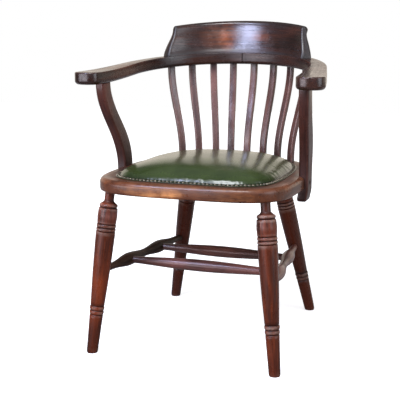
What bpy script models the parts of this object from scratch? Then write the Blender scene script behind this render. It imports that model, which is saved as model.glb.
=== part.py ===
"""Desk armchair: turned legs and stretchers, a bowed arm rail with a crest, and a leather seat.

Metres, +Z up. The chair faces -Y. The origin is on the floor, under the middle of the chair.
"""

import math

import bmesh
import bpy
from mathutils import Matrix, Vector

# Fit: the gap left between faces that are glued or seated
GAP = 0.0003

# Seat frame: a ring of four sawn rails, square-shouldered in front and rounder behind
SEAT_TOP = 0.455
RAIL_THICK = 0.034
SEAT_HALF_WIDTH = 0.257
SEAT_MID_Y = -0.066
SEAT_FRONT_DEPTH = 0.2265
SEAT_BACK_DEPTH = 0.325
FRONT_SQUARENESS = 4.0
BACK_SQUARENESS = 2.7
SIDE_RAIL_WIDTH = 0.070
FRONT_RAIL_WIDTH = 0.070
BACK_RAIL_WIDTH = 0.088
SEAT_TOP_ROUND = 0.012
SEAT_BOTTOM_ROUND = 0.005
FRONT_JOINT_SETBACK = 0.010
BACK_RAIL_REACH = 0.149
SEAT_DOWEL_D = 0.008
SEAT_DOWEL_LENGTH = 0.028
SEAT_DOWEL_WALL = 0.008

# Legs: one turning, set on raked axes; places on the seat are angles from straight back
FRONT_LEG_ANGLE = math.radians(130.6)
FRONT_LEG_MARGIN = 0.0165
FRONT_FOOT_OUT = 0.0405
FRONT_FOOT_FORWARD = 0.0415
BACK_LEG_ANGLE = math.radians(29.5)
BACK_LEG_MARGIN = 0.0535
BACK_FOOT_OUT = 0.081
BACK_FOOT_BACK = 0.087
LEG_TENON = 0.022
LEG_NECK_D = 0.0246
LEG_NECK_LENGTH = 0.0235
LEG_COLLAR_D = 0.0468
LEG_COLLAR_HEIGHT = 0.0165
LEG_BARREL_D = 0.0506
LEG_BARREL_LENGTH = 0.042
LEG_SHAFT_D = 0.0500
LEG_SHAFT_END_D = 0.0360
LEG_SHAFT_SWELL = 0.0010
LEG_ANKLE_D = 0.0350
LEG_FOOT_D = 0.0292
LEG_BEAD_HEIGHT = 0.0096
LEG_GROOVE_DEPTH = 0.0022
LEG_BEAD_OUT = 0.0010
LOWER_BEAD_HEIGHT = 0.0118
LOWER_RING_HEIGHT = 0.1140

# Stretchers: turned, slipped into plain sockets without a shoulder
SIDE_STRETCHER_FRONT_Z = 0.2155
SIDE_STRETCHER_BACK_Z = 0.203
SIDE_STRETCHER_D = 0.0215
SIDE_STRETCHER_END_D = 0.0180
BOBBIN_D = 0.0350
FRONT_CROSS_SHARE = 0.30
BACK_CROSS_SHARE = 0.67
CROSS_STRETCHER_D = 0.0320
CROSS_STRETCHER_END_D = 0.0180
STRETCHER_TENON = 0.014
CROSS_TENON = 0.012

# Arm rail: two sawn arms that meet behind the back, round in plan and then nearly straight
BOW_RADIUS = 0.268
BOW_CENTRE_Y = 0.003
ARM_SPLAY = math.radians(7.4)
ARM_FRONT_Y = -0.201
ARM_FRONT_TOP = 0.7175
ARM_RISE = 0.0385
ARM_FALL = 1.12
ARM_THICK = 0.032
ARM_BACK_WIDTH = 0.054
ARM_WAIST_WIDTH = 0.0415
ARM_PADDLE_WIDTH = 0.073
ARM_EDGE_ROUND = 0.0035
ARM_UNDER_ROUND = 0.010
ARM_SQUARE_EDGE = 0.0012
ARM_END_DEPTH = 0.034
ARM_END_SQUARENESS = 2.3
ARM_DOWEL_D = 0.009
ARM_DOWEL_LENGTH = 0.050
ARM_DOWEL_PITCH = 0.026
ARM_DOWEL_DROP = 0.010

# Crest rail: a tall curved board on the arm rail, coved in front, with ogee ends
CREST_TOP = 0.848
CREST_END_DROP = 0.0155
CREST_BASE_ANGLE = math.radians(52.0)
CREST_TOP_ANGLE = math.radians(44.8)
CREST_FRONT_SETBACK = 0.0006
CREST_BASE_BACK = 0.0115
CREST_TOP_THICK = 0.0230
CREST_TOP_BACK = 0.0200
CREST_TOP_ROUND = 0.010
CREST_EASE = 0.0065
CREST_DOWEL_D = 0.009
CREST_DOWEL_LENGTH = 0.036
CREST_DOWEL_STEP = math.radians(26.0)

# Slats: eight bent laths that fan out and sweep back from the seat to the arm rail
SLAT_COUNT = 8
SLAT_WIDTH = 0.0200
SLAT_THICK = 0.0140
SLAT_ROUND = 0.0040
SLAT_BASE_STEP = math.radians(9.5)
SLAT_TOP_STEP = math.radians(13.35)
SLAT_BASE_INSET = 0.0275
SLAT_TOP_SETBACK = 0.005
SLAT_SWEEP = 1.25
SLAT_LOW_TENON = 0.016
SLAT_TOP_TENON = 0.011

# Arm supports: S-curved posts housed in the side rails and tenoned into the arms
SUPPORT_THICK = 0.026
SUPPORT_WIDTH = 0.045
SUPPORT_FOOT_WIDTH = 0.052
SUPPORT_ROUND = 0.0065
SUPPORT_FOOT_Y = -0.030
SUPPORT_HOUSING = 0.0155
SUPPORT_DROP = 0.034
SUPPORT_END_ROUND = 0.010
SUPPORT_TOP_Y = -0.128
SUPPORT_INSET = 0.0160
SUPPORT_TENON = 0.018
SUPPORT_TENON_SHOULDER = 0.005
SCREW_PITCH = 0.018
SCREW_LENGTH = 0.036
SCREW_SHANK_D = 0.0042
SCREW_HEAD_D = 0.0088
SCREW_HEAD_HEIGHT = 0.0030
PELLET_D = 0.0100
PELLET_THICK = 0.0050

# Upholstery: webbing and hessian across the opening, a crowned stuffing and its leather
WEB_COUNT = 3
WEB_WIDTH = 0.048
WEB_THICK = 0.0015
WEB_PITCH_SHARE = 0.235
WEB_LANDING = 0.012
HESSIAN_THICK = 0.0012
PAD_SIDE_MARGIN = 0.053
PAD_FRONT_MARGIN = 0.042
PAD_BACK_MARGIN = 0.050
PAD_CROWN = 0.040
PAD_FULLNESS = 2.4
PAD_EDGE_ROLL = 0.60
LEATHER_THICK = 0.0020
LEATHER_FLANGE = 0.012

# Facets
SEAT_SIDES = 60
PAD_SIDES = 36
LEG_SIDES = 16
STRETCHER_SIDES = 12
DOWEL_SIDES = 8
CORNER_STEPS = 2

# Sizes that follow from the ones above
UNDERSIDE = SEAT_TOP - RAIL_THICK
ARC_ANGLE = math.pi / 2 - ARM_SPLAY
ARC_LENGTH = BOW_RADIUS * ARC_ANGLE
ARC_END = Vector((BOW_RADIUS * math.sin(ARC_ANGLE), BOW_CENTRE_Y + BOW_RADIUS * math.cos(ARC_ANGLE)))
ARM_AHEAD = Vector((math.cos(ARC_ANGLE), -math.sin(ARC_ANGLE)))
ARM_LENGTH = ARC_LENGTH + (ARC_END.y - ARM_FRONT_Y) / math.sin(ARC_ANGLE)
OPENING = (SIDE_RAIL_WIDTH, FRONT_RAIL_WIDTH, BACK_RAIL_WIDTH)
PAD_EDGE = (PAD_SIDE_MARGIN, PAD_FRONT_MARGIN, PAD_BACK_MARGIN)
FRONT_JOINT_Y = SEAT_MID_Y - SEAT_FRONT_DEPTH + FRONT_RAIL_WIDTH + FRONT_JOINT_SETBACK
BACK_JOINT_Y = SEAT_MID_Y + SEAT_BACK_DEPTH - BACK_RAIL_REACH
HESSIAN_LOW = SEAT_TOP + 2 * WEB_THICK + 3 * GAP
PAD_LOW = HESSIAN_LOW + HESSIAN_THICK + GAP
BEYOND = 1.0


# Scene, materials and solids


def clear_scene():
    for old in list(bpy.data.objects):
        bpy.data.objects.remove(old, do_unlink=True)


def finish(name, colour, roughness, metallic=0.0):
    """Plain Principled finish."""
    material = bpy.data.materials.new(name)
    material.use_nodes = True
    shader = material.node_tree.nodes["Principled BSDF"]
    shader.inputs["Base Color"].default_value = (*colour, 1.0)
    shader.inputs["Roughness"].default_value = roughness
    shader.inputs["Metallic"].default_value = metallic
    material.diffuse_color = (*colour, 1.0)
    return material


def add(name, mesh, material=None, matrix=None, parent=None):
    """Put a mesh in the scene under its own name."""
    piece = bpy.data.objects.new(name, mesh)
    bpy.context.scene.collection.objects.link(piece)
    piece.parent = parent
    if matrix:
        piece.matrix_world = matrix
    if material and not mesh.materials:
        mesh.materials.append(material)
    return piece


def cutter(name, mesh, matrix=None):
    """A shape that only removes wood."""
    shape = add(name, mesh, matrix=matrix)
    shape.hide_render = True
    shape.display_type = "WIRE"
    return shape


def cut(piece, shape, operation="DIFFERENCE"):
    modifier = piece.modifiers.new(shape.name, "BOOLEAN")
    modifier.operation = operation
    modifier.solver = "EXACT"
    modifier.object = shape


def loft(name, rings, ring_loop=False):
    """Closed solid through rings of equal count: capped at both ends, or run round to its start."""
    bm = bmesh.new()
    rows = [[bm.verts.new(point) for point in ring] for ring in rings]
    count = len(rows[0])
    pairs = list(zip(rows, rows[1:]))
    if ring_loop:
        pairs.append((rows[-1], rows[0]))
    else:
        bm.faces.new(rows[0])
        bm.faces.new(rows[-1])
    for low, high in pairs:
        for k in range(count):
            after = (k + 1) % count
            bm.faces.new((low[k], low[after], high[after], high[k]))
    bmesh.ops.recalc_face_normals(bm, faces=bm.faces)
    mesh = bpy.data.meshes.new(name)
    bm.to_mesh(mesh)
    bm.free()
    mesh.shade_smooth()
    mesh.set_sharp_from_angle(angle=math.radians(38))
    return mesh


def turned(name, profile, sides):
    """Solid of revolution about local Z, from (height, radius) pairs in rising order."""
    rings = []
    for height, radius in profile:
        turn = [2 * math.pi * k / sides for k in range(sides)]
        rings.append([Vector((radius * math.cos(a), radius * math.sin(a), height)) for a in turn])
    return loft(name, rings)


def block(name, low, high):
    """Box between two corners."""
    corners = ((low[0], low[1]), (high[0], low[1]), (high[0], high[1]), (low[0], high[1]))
    return loft(name, [[Vector((x, y, z)) for x, y in corners] for z in (low[2], high[2])])


def along_axis(start, end):
    """Placement with local Z running from one point to another."""
    direction = (end - start).normalized()
    return Matrix.Translation(start) @ direction.to_track_quat("Z", "Y").to_matrix().to_4x4()


def rounded_rectangle(half_u, half_v, radii):
    """Outline points (u, v); the four corner radii run from (+,+) round to (+,-)."""
    outline = []
    for k, (su, sv) in enumerate(((1, 1), (-1, 1), (-1, -1), (1, -1))):
        for step in range(CORNER_STEPS + 1):
            angle = math.pi / 2 * (k + step / CORNER_STEPS)
            u = su * (half_u - radii[k]) + radii[k] * math.cos(angle)
            v = sv * (half_v - radii[k]) + radii[k] * math.sin(angle)
            outline.append((u, v))
    return outline


def smooth_step(t):
    t = min(max(t, 0.0), 1.0)
    return t * t * (3 - 2 * t)


def through(table, place):
    """Smooth curve through (place, value) pairs, level at both ends."""
    for k in range(len(table) - 1):
        if place <= table[k + 1][0] or k == len(table) - 2:
            break
    (p0, v0), (p1, v1) = table[k], table[k + 1]
    slope = [0.0, 0.0]
    for side, j in enumerate((k, k + 1)):
        if 0 < j < len(table) - 1:
            slope[side] = (table[j + 1][1] - table[j - 1][1]) / (table[j + 1][0] - table[j - 1][0])
    span = p1 - p0
    t = min(max((place - p0) / span, 0.0), 1.0)
    start = (1 + 2 * t) * (1 - t) ** 2 * v0 + t * (1 - t) ** 2 * span * slope[0]
    return start + t * t * (3 - 2 * t) * v1 - t * t * (1 - t) * span * slope[1]


def quarter_round(steps):
    """(draw-in, rise) shares of a quarter circle, from its foot to its crown."""
    angles = [math.pi / 2 * k / steps for k in range(steps + 1)]
    return [(1 - math.sin(a), 1 - math.cos(a)) for a in angles]


# Seat frame


def seat_point(angle, margins, z):
    """Point of the seat's outline, drawn in by side, front and back margins, seen from the middle."""
    side, front, back = margins
    across, behind = math.sin(angle), math.cos(angle)
    half = SEAT_HALF_WIDTH - side
    if behind > 0:
        depth, power = SEAT_BACK_DEPTH - back, BACK_SQUARENESS
    else:
        depth, power = SEAT_FRONT_DEPTH - front, FRONT_SQUARENESS
    reach = (abs(across / half) ** power + abs(behind / depth) ** power) ** (-1 / power)
    return Vector((reach * across, SEAT_MID_Y + reach * behind, z))


def seat_ring(margins, z, sides):
    return [seat_point(2 * math.pi * k / sides, margins, z) for k in range(sides)]


def seat_edge_x(y, margins):
    """Half width of the seat's outline at a place along Y."""
    side, front, back = margins
    if y > SEAT_MID_Y:
        depth, power = SEAT_BACK_DEPTH - back, BACK_SQUARENESS
    else:
        depth, power = SEAT_FRONT_DEPTH - front, FRONT_SQUARENESS
    inside = max(1 - abs((y - SEAT_MID_Y) / depth) ** power, 0.0)
    return (SEAT_HALF_WIDTH - side) * inside ** (1 / power)


def even(margin):
    return (margin, margin, margin)


def seat_frame_mesh(name):
    """The whole frame as one ring with its outer edges rounded, before it is cut into rails."""
    rings = []
    for draw, rise in quarter_round(2):
        z = UNDERSIDE + rise * SEAT_BOTTOM_ROUND
        rings.append(seat_ring(even(draw * SEAT_BOTTOM_ROUND), z, SEAT_SIDES))
    for draw, rise in reversed(quarter_round(3)):
        z = SEAT_TOP - rise * SEAT_TOP_ROUND
        rings.append(seat_ring(even(draw * SEAT_TOP_ROUND), z, SEAT_SIDES))
    rings.append(seat_ring(OPENING, SEAT_TOP, SEAT_SIDES))
    rings.append(seat_ring(OPENING, UNDERSIDE, SEAT_SIDES))
    return loft(name, rings, ring_loop=True)


def make_rails(wood, parent):
    """Front, side and back rails, each the part of the frame that falls in its own region."""
    front, back = FRONT_JOINT_Y, BACK_JOINT_Y
    regions = {
        "front_seat_rail": ((-BEYOND, -BEYOND), (BEYOND, front - GAP / 2)),
        "left_seat_rail": ((-BEYOND, front + GAP / 2), (0, back - GAP / 2)),
        "right_seat_rail": ((0, front + GAP / 2), (BEYOND, back - GAP / 2)),
        "back_seat_rail": ((-BEYOND, back + GAP / 2), (BEYOND, BEYOND)),
    }
    rails = {}
    for name, (low, high) in regions.items():
        rails[name] = add(name, seat_frame_mesh(name), wood, parent=parent)
        region = block("region_" + name, (*low, UNDERSIDE - BEYOND), (*high, SEAT_TOP + BEYOND))
        cut(rails[name], cutter("region_" + name, region), "INTERSECT")
    return rails


def dowel_meshes(name, diameter, length):
    """A dowel along local Z about its middle, and the hole for it."""
    half = length / 2
    dowel = turned(name, [(-half, diameter / 2), (half, diameter / 2)], DOWEL_SIDES)
    hole = [(-half - GAP, diameter / 2 + GAP), (half + GAP, diameter / 2 + GAP)]
    return dowel, turned(name + "_hole", hole, DOWEL_SIDES)


def fit_dowel(name, meshes, matrix, pieces, wood, parent):
    add(name, meshes[0], wood, matrix, parent)
    hole = cutter("hole_" + name, meshes[1], matrix)
    for piece in pieces:
        cut(piece, hole)


def make_seat_dowels(rails, wood, parent):
    """Two dowels across each of the frame's four joints; those in front stay inside the leg's socket."""
    meshes = dowel_meshes("seat_dowel", SEAT_DOWEL_D, SEAT_DOWEL_LENGTH)
    edge = SEAT_DOWEL_WALL + SEAT_DOWEL_D / 2
    front_limit = leg_axis(1, "front")[1].x - LEG_NECK_D / 2
    back_limit = seat_edge_x(BACK_JOINT_Y, even(SEAT_TOP_ROUND))
    joints = ((FRONT_JOINT_Y, front_limit, "front_seat_rail"), (BACK_JOINT_Y, back_limit, "back_seat_rail"))
    number = 0
    for y, limit, end in joints:
        for side, flank in ((-1, "left_seat_rail"), (1, "right_seat_rail")):
            for x in (seat_edge_x(y, OPENING) + edge, limit - edge):
                number += 1
                centre = Vector((side * x, y, UNDERSIDE + RAIL_THICK / 2))
                placed = along_axis(centre, centre + Vector((0, 1, 0)))
                fit_dowel(f"seat_dowel_{number}", meshes, placed, (rails[end], rails[flank]), wood, parent)


# Legs


def leg_axis(side, end):
    """Foot on the floor and top at the seat's underside."""
    if end == "front":
        top = seat_point(FRONT_LEG_ANGLE, even(FRONT_LEG_MARGIN), UNDERSIDE)
        rake = Vector((FRONT_FOOT_OUT, -FRONT_FOOT_FORWARD, -UNDERSIDE))
    else:
        top = seat_point(BACK_LEG_ANGLE, even(BACK_LEG_MARGIN), UNDERSIDE)
        rake = Vector((BACK_FOOT_OUT, BACK_FOOT_BACK, -UNDERSIDE))
    foot = top + rake
    flip = Vector((side, 1, 1))
    return foot * flip, top * flip


def bead(middle, base_radius, height):
    """Half-round ring that stands out of a turning, between two quirks."""
    quirk, swell = base_radius - LEG_GROOVE_DEPTH, LEG_GROOVE_DEPTH + LEG_BEAD_OUT
    half = height / 2
    angles = [math.pi * k / 3 for k in range(4)]
    return [(middle - half * math.cos(a), quirk + swell * math.sin(a)) for a in angles]


def leg_profile(length):
    """Turning from the foot to the end of the tenon; length is from the floor to the seat."""
    foot, ankle, neck = LEG_FOOT_D / 2, LEG_ANKLE_D / 2, LEG_NECK_D / 2
    shaft, shaft_end = LEG_SHAFT_D / 2, LEG_SHAFT_END_D / 2
    barrel, collar = LEG_BARREL_D / 2, LEG_COLLAR_D / 2
    step, low_step = LEG_BEAD_HEIGHT, LOWER_BEAD_HEIGHT
    collar_low = length - LEG_NECK_LENGTH - LEG_COLLAR_HEIGHT
    barrel_low = collar_low - LEG_GROOVE_DEPTH - LEG_BARREL_LENGTH
    shaft_low, shaft_high = LOWER_RING_HEIGHT + low_step, barrel_low - 2 * step
    profile = [(-foot / 2, foot * 0.7), (0, foot * 0.93), (foot / 2, foot)]
    profile.append((LOWER_RING_HEIGHT - 1.3 * low_step, ankle))
    profile += bead(LOWER_RING_HEIGHT - low_step / 2, ankle, low_step)
    profile += bead(LOWER_RING_HEIGHT + low_step / 2, shaft_end, low_step)[1:]
    for k in range(4):
        share = k / 3
        swell = LEG_SHAFT_SWELL * math.sin(math.pi * share)
        height = shaft_low + 0.3 * step + share * (shaft_high - shaft_low - 0.5 * step)
        profile.append((height, shaft_end + share * (shaft - shaft_end) + swell))
    profile += bead(shaft_high + step / 2, shaft - LEG_BEAD_OUT, step)
    profile += bead(shaft_high + 1.5 * step, shaft - LEG_BEAD_OUT, step)[1:]
    profile.append((barrel_low + LEG_GROOVE_DEPTH, barrel - LEG_GROOVE_DEPTH / 2))
    profile.append((barrel_low + LEG_BARREL_LENGTH / 2, barrel))
    profile.append((collar_low - 2 * LEG_GROOVE_DEPTH, barrel - LEG_GROOVE_DEPTH / 2))
    profile.append((collar_low - LEG_GROOVE_DEPTH, collar - LEG_GROOVE_DEPTH))
    profile.append((collar_low + LEG_COLLAR_HEIGHT * 0.18, collar))
    profile.append((collar_low + LEG_COLLAR_HEIGHT * 0.42, collar - LEG_GROOVE_DEPTH / 2))
    profile.append((collar_low + LEG_COLLAR_HEIGHT * 0.66, neck + (collar - neck) * 0.42))
    profile += [(length - LEG_NECK_LENGTH, neck), (length + LEG_TENON, neck)]
    return profile


def leg_radius(length, height):
    """Radius of the turning at a height along its axis."""
    profile = leg_profile(length)
    for (h0, r0), (h1, r1) in zip(profile, profile[1:]):
        if h0 <= height <= h1:
            return r0 + (r1 - r0) * (height - h0) / (h1 - h0)
    return profile[-1][1]


def make_legs(rails, wood, parent):
    """Four turned legs, cut flat at the floor, each in a blind socket in its rail."""
    floor = cutter("floor", block("floor", (-BEYOND, -BEYOND, -BEYOND), (BEYOND, BEYOND, 0)))
    legs = {}
    for end in ("front", "back"):
        for side, word in ((-1, "left"), (1, "right")):
            name = f"{end}_{word}_leg"
            foot, top = leg_axis(side, end)
            length = (top - foot).length
            placed = along_axis(foot, top)
            leg = add(name, turned(name, leg_profile(length), LEG_SIDES), wood, placed, parent)
            cut(leg, floor)
            neck = LEG_NECK_D / 2 + GAP
            depth = [(length - RAIL_THICK, neck), (length + LEG_TENON + GAP, neck)]
            socket = turned("socket", depth, LEG_SIDES)
            cut(rails[f"{end}_seat_rail"], cutter("socket_" + name, socket, placed))
            legs[name] = leg
    return legs


# Stretchers


def stretcher_mesh(name, start, end, profile, grow=0.0):
    """Turned bar from (distance, radius) pairs along its axis, and the larger copy that cuts its sockets."""
    first, last = profile[0], profile[-1]
    grown = [(distance, radius + grow) for distance, radius in profile]
    grown[0] = (first[0] - grow, first[1] + grow)
    grown[-1] = (last[0] + grow, last[1] + grow)
    return turned(name, grown, STRETCHER_SIDES), along_axis(start, end)


def side_stretcher_ends(side):
    ends = []
    for end, z in (("front", SIDE_STRETCHER_FRONT_Z), ("back", SIDE_STRETCHER_BACK_Z)):
        foot, top = leg_axis(side, end)
        share = z / UNDERSIDE
        radius = leg_radius((top - foot).length, share * (top - foot).length)
        ends.append((foot.lerp(top, share), radius - STRETCHER_TENON))
    return ends


def make_stretchers(legs, wood, parent):
    """Side stretchers between the legs, swelling into bobbins where the two cross stretchers enter."""
    sides = {}
    for side, word in ((-1, "left"), (1, "right")):
        (front, front_in), (back, back_in) = side_stretcher_ends(side)
        length = (back - front).length
        thin, plain, fat = SIDE_STRETCHER_END_D / 2, SIDE_STRETCHER_D / 2, BOBBIN_D / 2
        bobbins = (FRONT_CROSS_SHARE * length, BACK_CROSS_SHARE * length)
        middle = sum(bobbins) / 2
        shape = [(0, thin), (bobbins[0] / 2, (thin + plain) / 2), (bobbins[0], fat), (middle, plain)]
        shape += [(bobbins[1], fat), ((bobbins[1] + length) / 2, (thin + plain) / 2), (length, thin)]
        first, last = front_in, length - back_in
        places = [first + (last - first) * k / 14 for k in range(15)]
        profile = [(place, through(shape, place)) for place in places]
        name = f"{word}_side_stretcher"
        mesh, placed = stretcher_mesh(name, front, back, profile)
        sides[word] = add(name, mesh, wood, placed, parent)
        hole = cutter("socket_" + name, stretcher_mesh("socket", front, back, profile, GAP)[0], placed)
        cut(legs[f"front_{word}_leg"], hole)
        cut(legs[f"back_{word}_leg"], hole)
    for word, share in (("front", FRONT_CROSS_SHARE), ("back", BACK_CROSS_SHARE)):
        left, right = [ends[0][0].lerp(ends[1][0], share) for ends in map(side_stretcher_ends, (-1, 1))]
        length = (right - left).length
        inside = BOBBIN_D / 2 - CROSS_TENON
        thin, fat = CROSS_STRETCHER_END_D / 2, CROSS_STRETCHER_D / 2
        places = [inside + (length - 2 * inside) * k / 12 for k in range(13)]
        swells = [math.sin(math.pi * place / length) ** 1.5 for place in places]
        profile = [(place, thin + (fat - thin) * swell) for place, swell in zip(places, swells)]
        name = f"{word}_cross_stretcher"
        mesh, placed = stretcher_mesh(name, left, right, profile)
        add(name, mesh, wood, placed, parent)
        hole = cutter("socket_" + name, stretcher_mesh("socket", left, right, profile, GAP)[0], placed)
        for stretcher in sides.values():
            cut(stretcher, hole)


# Arm rail


def arm_station(place):
    """Centre and outward direction, in plan, at a distance along the right arm from the back."""
    angle = min(place / BOW_RADIUS, ARC_ANGLE)
    outward = Vector((math.sin(angle), math.cos(angle)))
    centre = Vector((0, BOW_CENTRE_Y)) + BOW_RADIUS * outward
    return centre + max(place - ARC_LENGTH, 0.0) * ARM_AHEAD, outward


def arm_width(place):
    table = ((0.0, ARM_BACK_WIDTH), (0.5, ARM_WAIST_WIDTH))
    table += ((0.84, ARM_WAIST_WIDTH + 0.8 * (ARM_PADDLE_WIDTH - ARM_WAIST_WIDTH)), (1.0, ARM_PADDLE_WIDTH))
    return through(table, place / ARM_LENGTH)


def arm_top(place):
    """Height of the arm's top: it falls in one easy curve from the back to the paddle."""
    share = min(max(place / ARM_LENGTH, 0.0), 1.0)
    return ARM_FRONT_TOP + ARM_RISE * (1 + math.cos(math.pi * share ** ARM_FALL)) / 2


def arm_place(x, y):
    """Distance along the straight part of an arm, for a point in plan."""
    return ARC_LENGTH + (Vector((abs(x), y)) - ARC_END).dot(ARM_AHEAD)


def arm_ring(place, side, share=1.0):
    """Section of an arm at a share of its width there, with its edges rounded where no crest stands."""
    centre, outward = arm_station(place)
    half = arm_width(place) / 2 * share
    bare = smooth_step((place / BOW_RADIUS - CREST_BASE_ANGLE) / (ARC_ANGLE - CREST_BASE_ANGLE) * 2.5)
    inner_top = ARM_SQUARE_EDGE + (ARM_EDGE_ROUND - ARM_SQUARE_EDGE) * bare
    under = min(ARM_UNDER_ROUND, 0.9 * half)
    radii = (ARM_EDGE_ROUND, inner_top, under, under)
    ring = []
    for u, v in rounded_rectangle(half, ARM_THICK / 2, radii):
        spot = centre + u * outward
        ring.append(Vector((side * spot.x, spot.y, arm_top(place) - ARM_THICK / 2 + v)))
    return ring


def arm_mesh(name, side):
    """One arm, from the butt joint behind the back to the rounded paddle in front."""
    arc_steps, run_steps, end_steps = 12, 5, 6
    places = [GAP / 2 + (ARC_LENGTH - GAP / 2) * k / arc_steps for k in range(arc_steps + 1)]
    run_end = ARM_LENGTH - ARM_END_DEPTH
    power = 2 / ARM_END_SQUARENESS
    places += [ARC_LENGTH + (run_end - ARC_LENGTH) * k / run_steps for k in range(1, run_steps + 1)]
    rings = [arm_ring(place, side) for place in places]
    for k in range(1, end_steps + 1):
        angle = math.pi / 2 * 0.96 * k / end_steps
        ahead = ARM_END_DEPTH * math.sin(angle) ** power
        rings.append(arm_ring(run_end + ahead, side, math.cos(angle) ** power))
    return loft(name, rings)


def make_arms(wood, parent):
    arms = {}
    for side, word in ((-1, "left"), (1, "right")):
        name = f"{word}_arm"
        arms[word] = add(name, arm_mesh(name, side), wood, parent=parent)
    meshes = dowel_meshes("arm_dowel", ARM_DOWEL_D, ARM_DOWEL_LENGTH)
    for number, offset in ((1, -ARM_DOWEL_PITCH / 2), (2, ARM_DOWEL_PITCH / 2)):
        centre = Vector((0, BOW_CENTRE_Y + BOW_RADIUS + offset, arm_top(0) - ARM_DOWEL_DROP))
        placed = along_axis(centre, centre + Vector((1, 0, 0)))
        fit_dowel(f"arm_joint_dowel_{number}", meshes, placed, arms.values(), wood, parent)
    return arms


# Crest rail


def crest_half_angle(share):
    """Ogee of the crest's ends: nearly upright above, flaring to the arm rail below."""
    flare = CREST_BASE_ANGLE - CREST_TOP_ANGLE
    ogee = ((0.0, 1.0), (0.25, 0.80), (0.62, 0.30), (0.82, 0.08), (1.0, 0.0))
    return CREST_TOP_ANGLE + flare * through(ogee, share)


def crest_ring(across, ease=0.0):
    """Section of the crest at a share of its half length: coved front, top rolled over backwards."""
    half_arm = arm_width(abs(across) * CREST_BASE_ANGLE * BOW_RADIUS) / 2
    base_front = BOW_RADIUS - half_arm + CREST_FRONT_SETBACK
    base_back = BOW_RADIUS + CREST_BASE_BACK
    top_back = BOW_RADIUS + CREST_TOP_BACK
    top_front = top_back - CREST_TOP_THICK
    cove = ((0.0, 0.0), (0.14, 0.18), (0.5, 0.54), (1.0, 1.0))
    roll = ((0.0, 0.0), (0.45, 0.02), (0.74, 0.14), (0.9, 1.0), (1.0, 1.0))
    rest = arm_top(abs(across) * CREST_BASE_ANGLE * BOW_RADIUS) + GAP
    height = CREST_TOP - CREST_END_DROP * across ** 2 - rest
    shoulder = 1 - CREST_TOP_ROUND / height

    def front(share):
        return base_front + (top_front - base_front) * through(cove, share)

    def back(share):
        return base_back + (top_back - base_back) * through(roll, share)

    shares = [shoulder * k / 7 for k in range(8)]
    outline = [(front(share), share) for share in shares]
    middle, half = (front(shoulder) + back(shoulder)) / 2, (back(shoulder) - front(shoulder)) / 2
    for k in range(1, 5):
        angle = math.pi * k / 5
        outline.append((middle - half * math.cos(angle), shoulder + (1 - shoulder) * math.sin(angle)))
    outline += [(back(share), share) for share in reversed(shares[::2] + [shoulder])]
    centre = (sum(r for r, _ in outline) / len(outline), 0.5)
    ring = []
    for radius, share in outline:
        radius += ease * (centre[0] - radius) / half
        share += ease * (centre[1] - share) / height if share > 0 else 0.0
        angle = across * crest_half_angle(share)
        x, y = radius * math.sin(angle), BOW_CENTRE_Y + radius * math.cos(angle)
        ring.append(Vector((x, y, rest + share * height)))
    return ring


def make_crest(arms, wood, parent):
    steps = 12
    shares = [2 * k / steps - 1 for k in range(steps + 1)]
    rings = [crest_ring(share) for share in shares]
    inner = 1 - CREST_EASE / (BOW_RADIUS * CREST_TOP_ANGLE)
    rings[0], rings[-1] = crest_ring(-inner), crest_ring(inner)
    for angle in (math.pi / 6, math.pi / 3, math.pi / 2):
        across, ease = inner + (1 - inner) * math.sin(angle), CREST_EASE * (1 - math.cos(angle))
        rings = [crest_ring(-across, ease), *rings, crest_ring(across, ease)]
    crest = add("crest_rail", loft("crest_rail", rings), wood, parent=parent)
    meshes = dowel_meshes("crest_dowel", CREST_DOWEL_D, CREST_DOWEL_LENGTH)
    for k in range(4):
        angle = (k - 1.5) * CREST_DOWEL_STEP
        place = abs(angle) * BOW_RADIUS
        radius = BOW_RADIUS + CREST_BASE_BACK / 2 - arm_width(place) / 4
        centre = Vector((radius * math.sin(angle), BOW_CENTRE_Y + radius * math.cos(angle), arm_top(place)))
        arm = arms["left"] if angle < 0 else arms["right"]
        placed = along_axis(centre, centre + Vector((0, 0, 1)))
        fit_dowel(f"crest_dowel_{k + 1}", meshes, placed, (crest, arm), wood, parent)


# Slats


def slat_mesh(name, number, grow=0.0):
    """Lath from the back rail to the arm rail; its ends run on as tenons."""
    turn = number - (SLAT_COUNT - 1) / 2
    base_angle, top_angle = turn * SLAT_BASE_STEP, turn * SLAT_TOP_STEP
    base = seat_point(base_angle, even(SLAT_BASE_INSET), SEAT_TOP)
    radius = BOW_RADIUS + SLAT_TOP_SETBACK
    under = arm_top(abs(top_angle) * BOW_RADIUS) - ARM_THICK
    top = Vector((radius * math.sin(top_angle), BOW_CENTRE_Y + radius * math.cos(top_angle), under))
    rise = under - SEAT_TOP
    steps = 5
    heights = [rise * k / steps for k in range(steps + 1)]
    heights = [-SLAT_LOW_TENON - grow, *heights, rise + SLAT_TOP_TENON + grow]
    half_width, half_thick, corner = SLAT_WIDTH / 2 + grow, SLAT_THICK / 2 + grow, SLAT_ROUND + grow
    rings = []
    for height in heights:
        t = max(height / rise, 0.0)
        sway = t ** SLAT_SWEEP
        slope = SLAT_SWEEP * t ** (SLAT_SWEEP - 1) / rise
        centre = Vector((*base.xy.lerp(top.xy, sway), SEAT_TOP + height))
        upward = Vector((*(top.xy - base.xy) * slope, 1)).normalized()
        angle = base_angle + (top_angle - base_angle) * min(sway, 1.0)
        wide = Vector((math.cos(angle), -math.sin(angle), 0))
        wide = (wide - wide.dot(upward) * upward).normalized()
        deep = upward.cross(wide)
        outline = rounded_rectangle(half_width, half_thick, (corner,) * 4)
        rings.append([centre + u * wide + v * deep for u, v in outline])
    return loft(name, rings)


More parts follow.
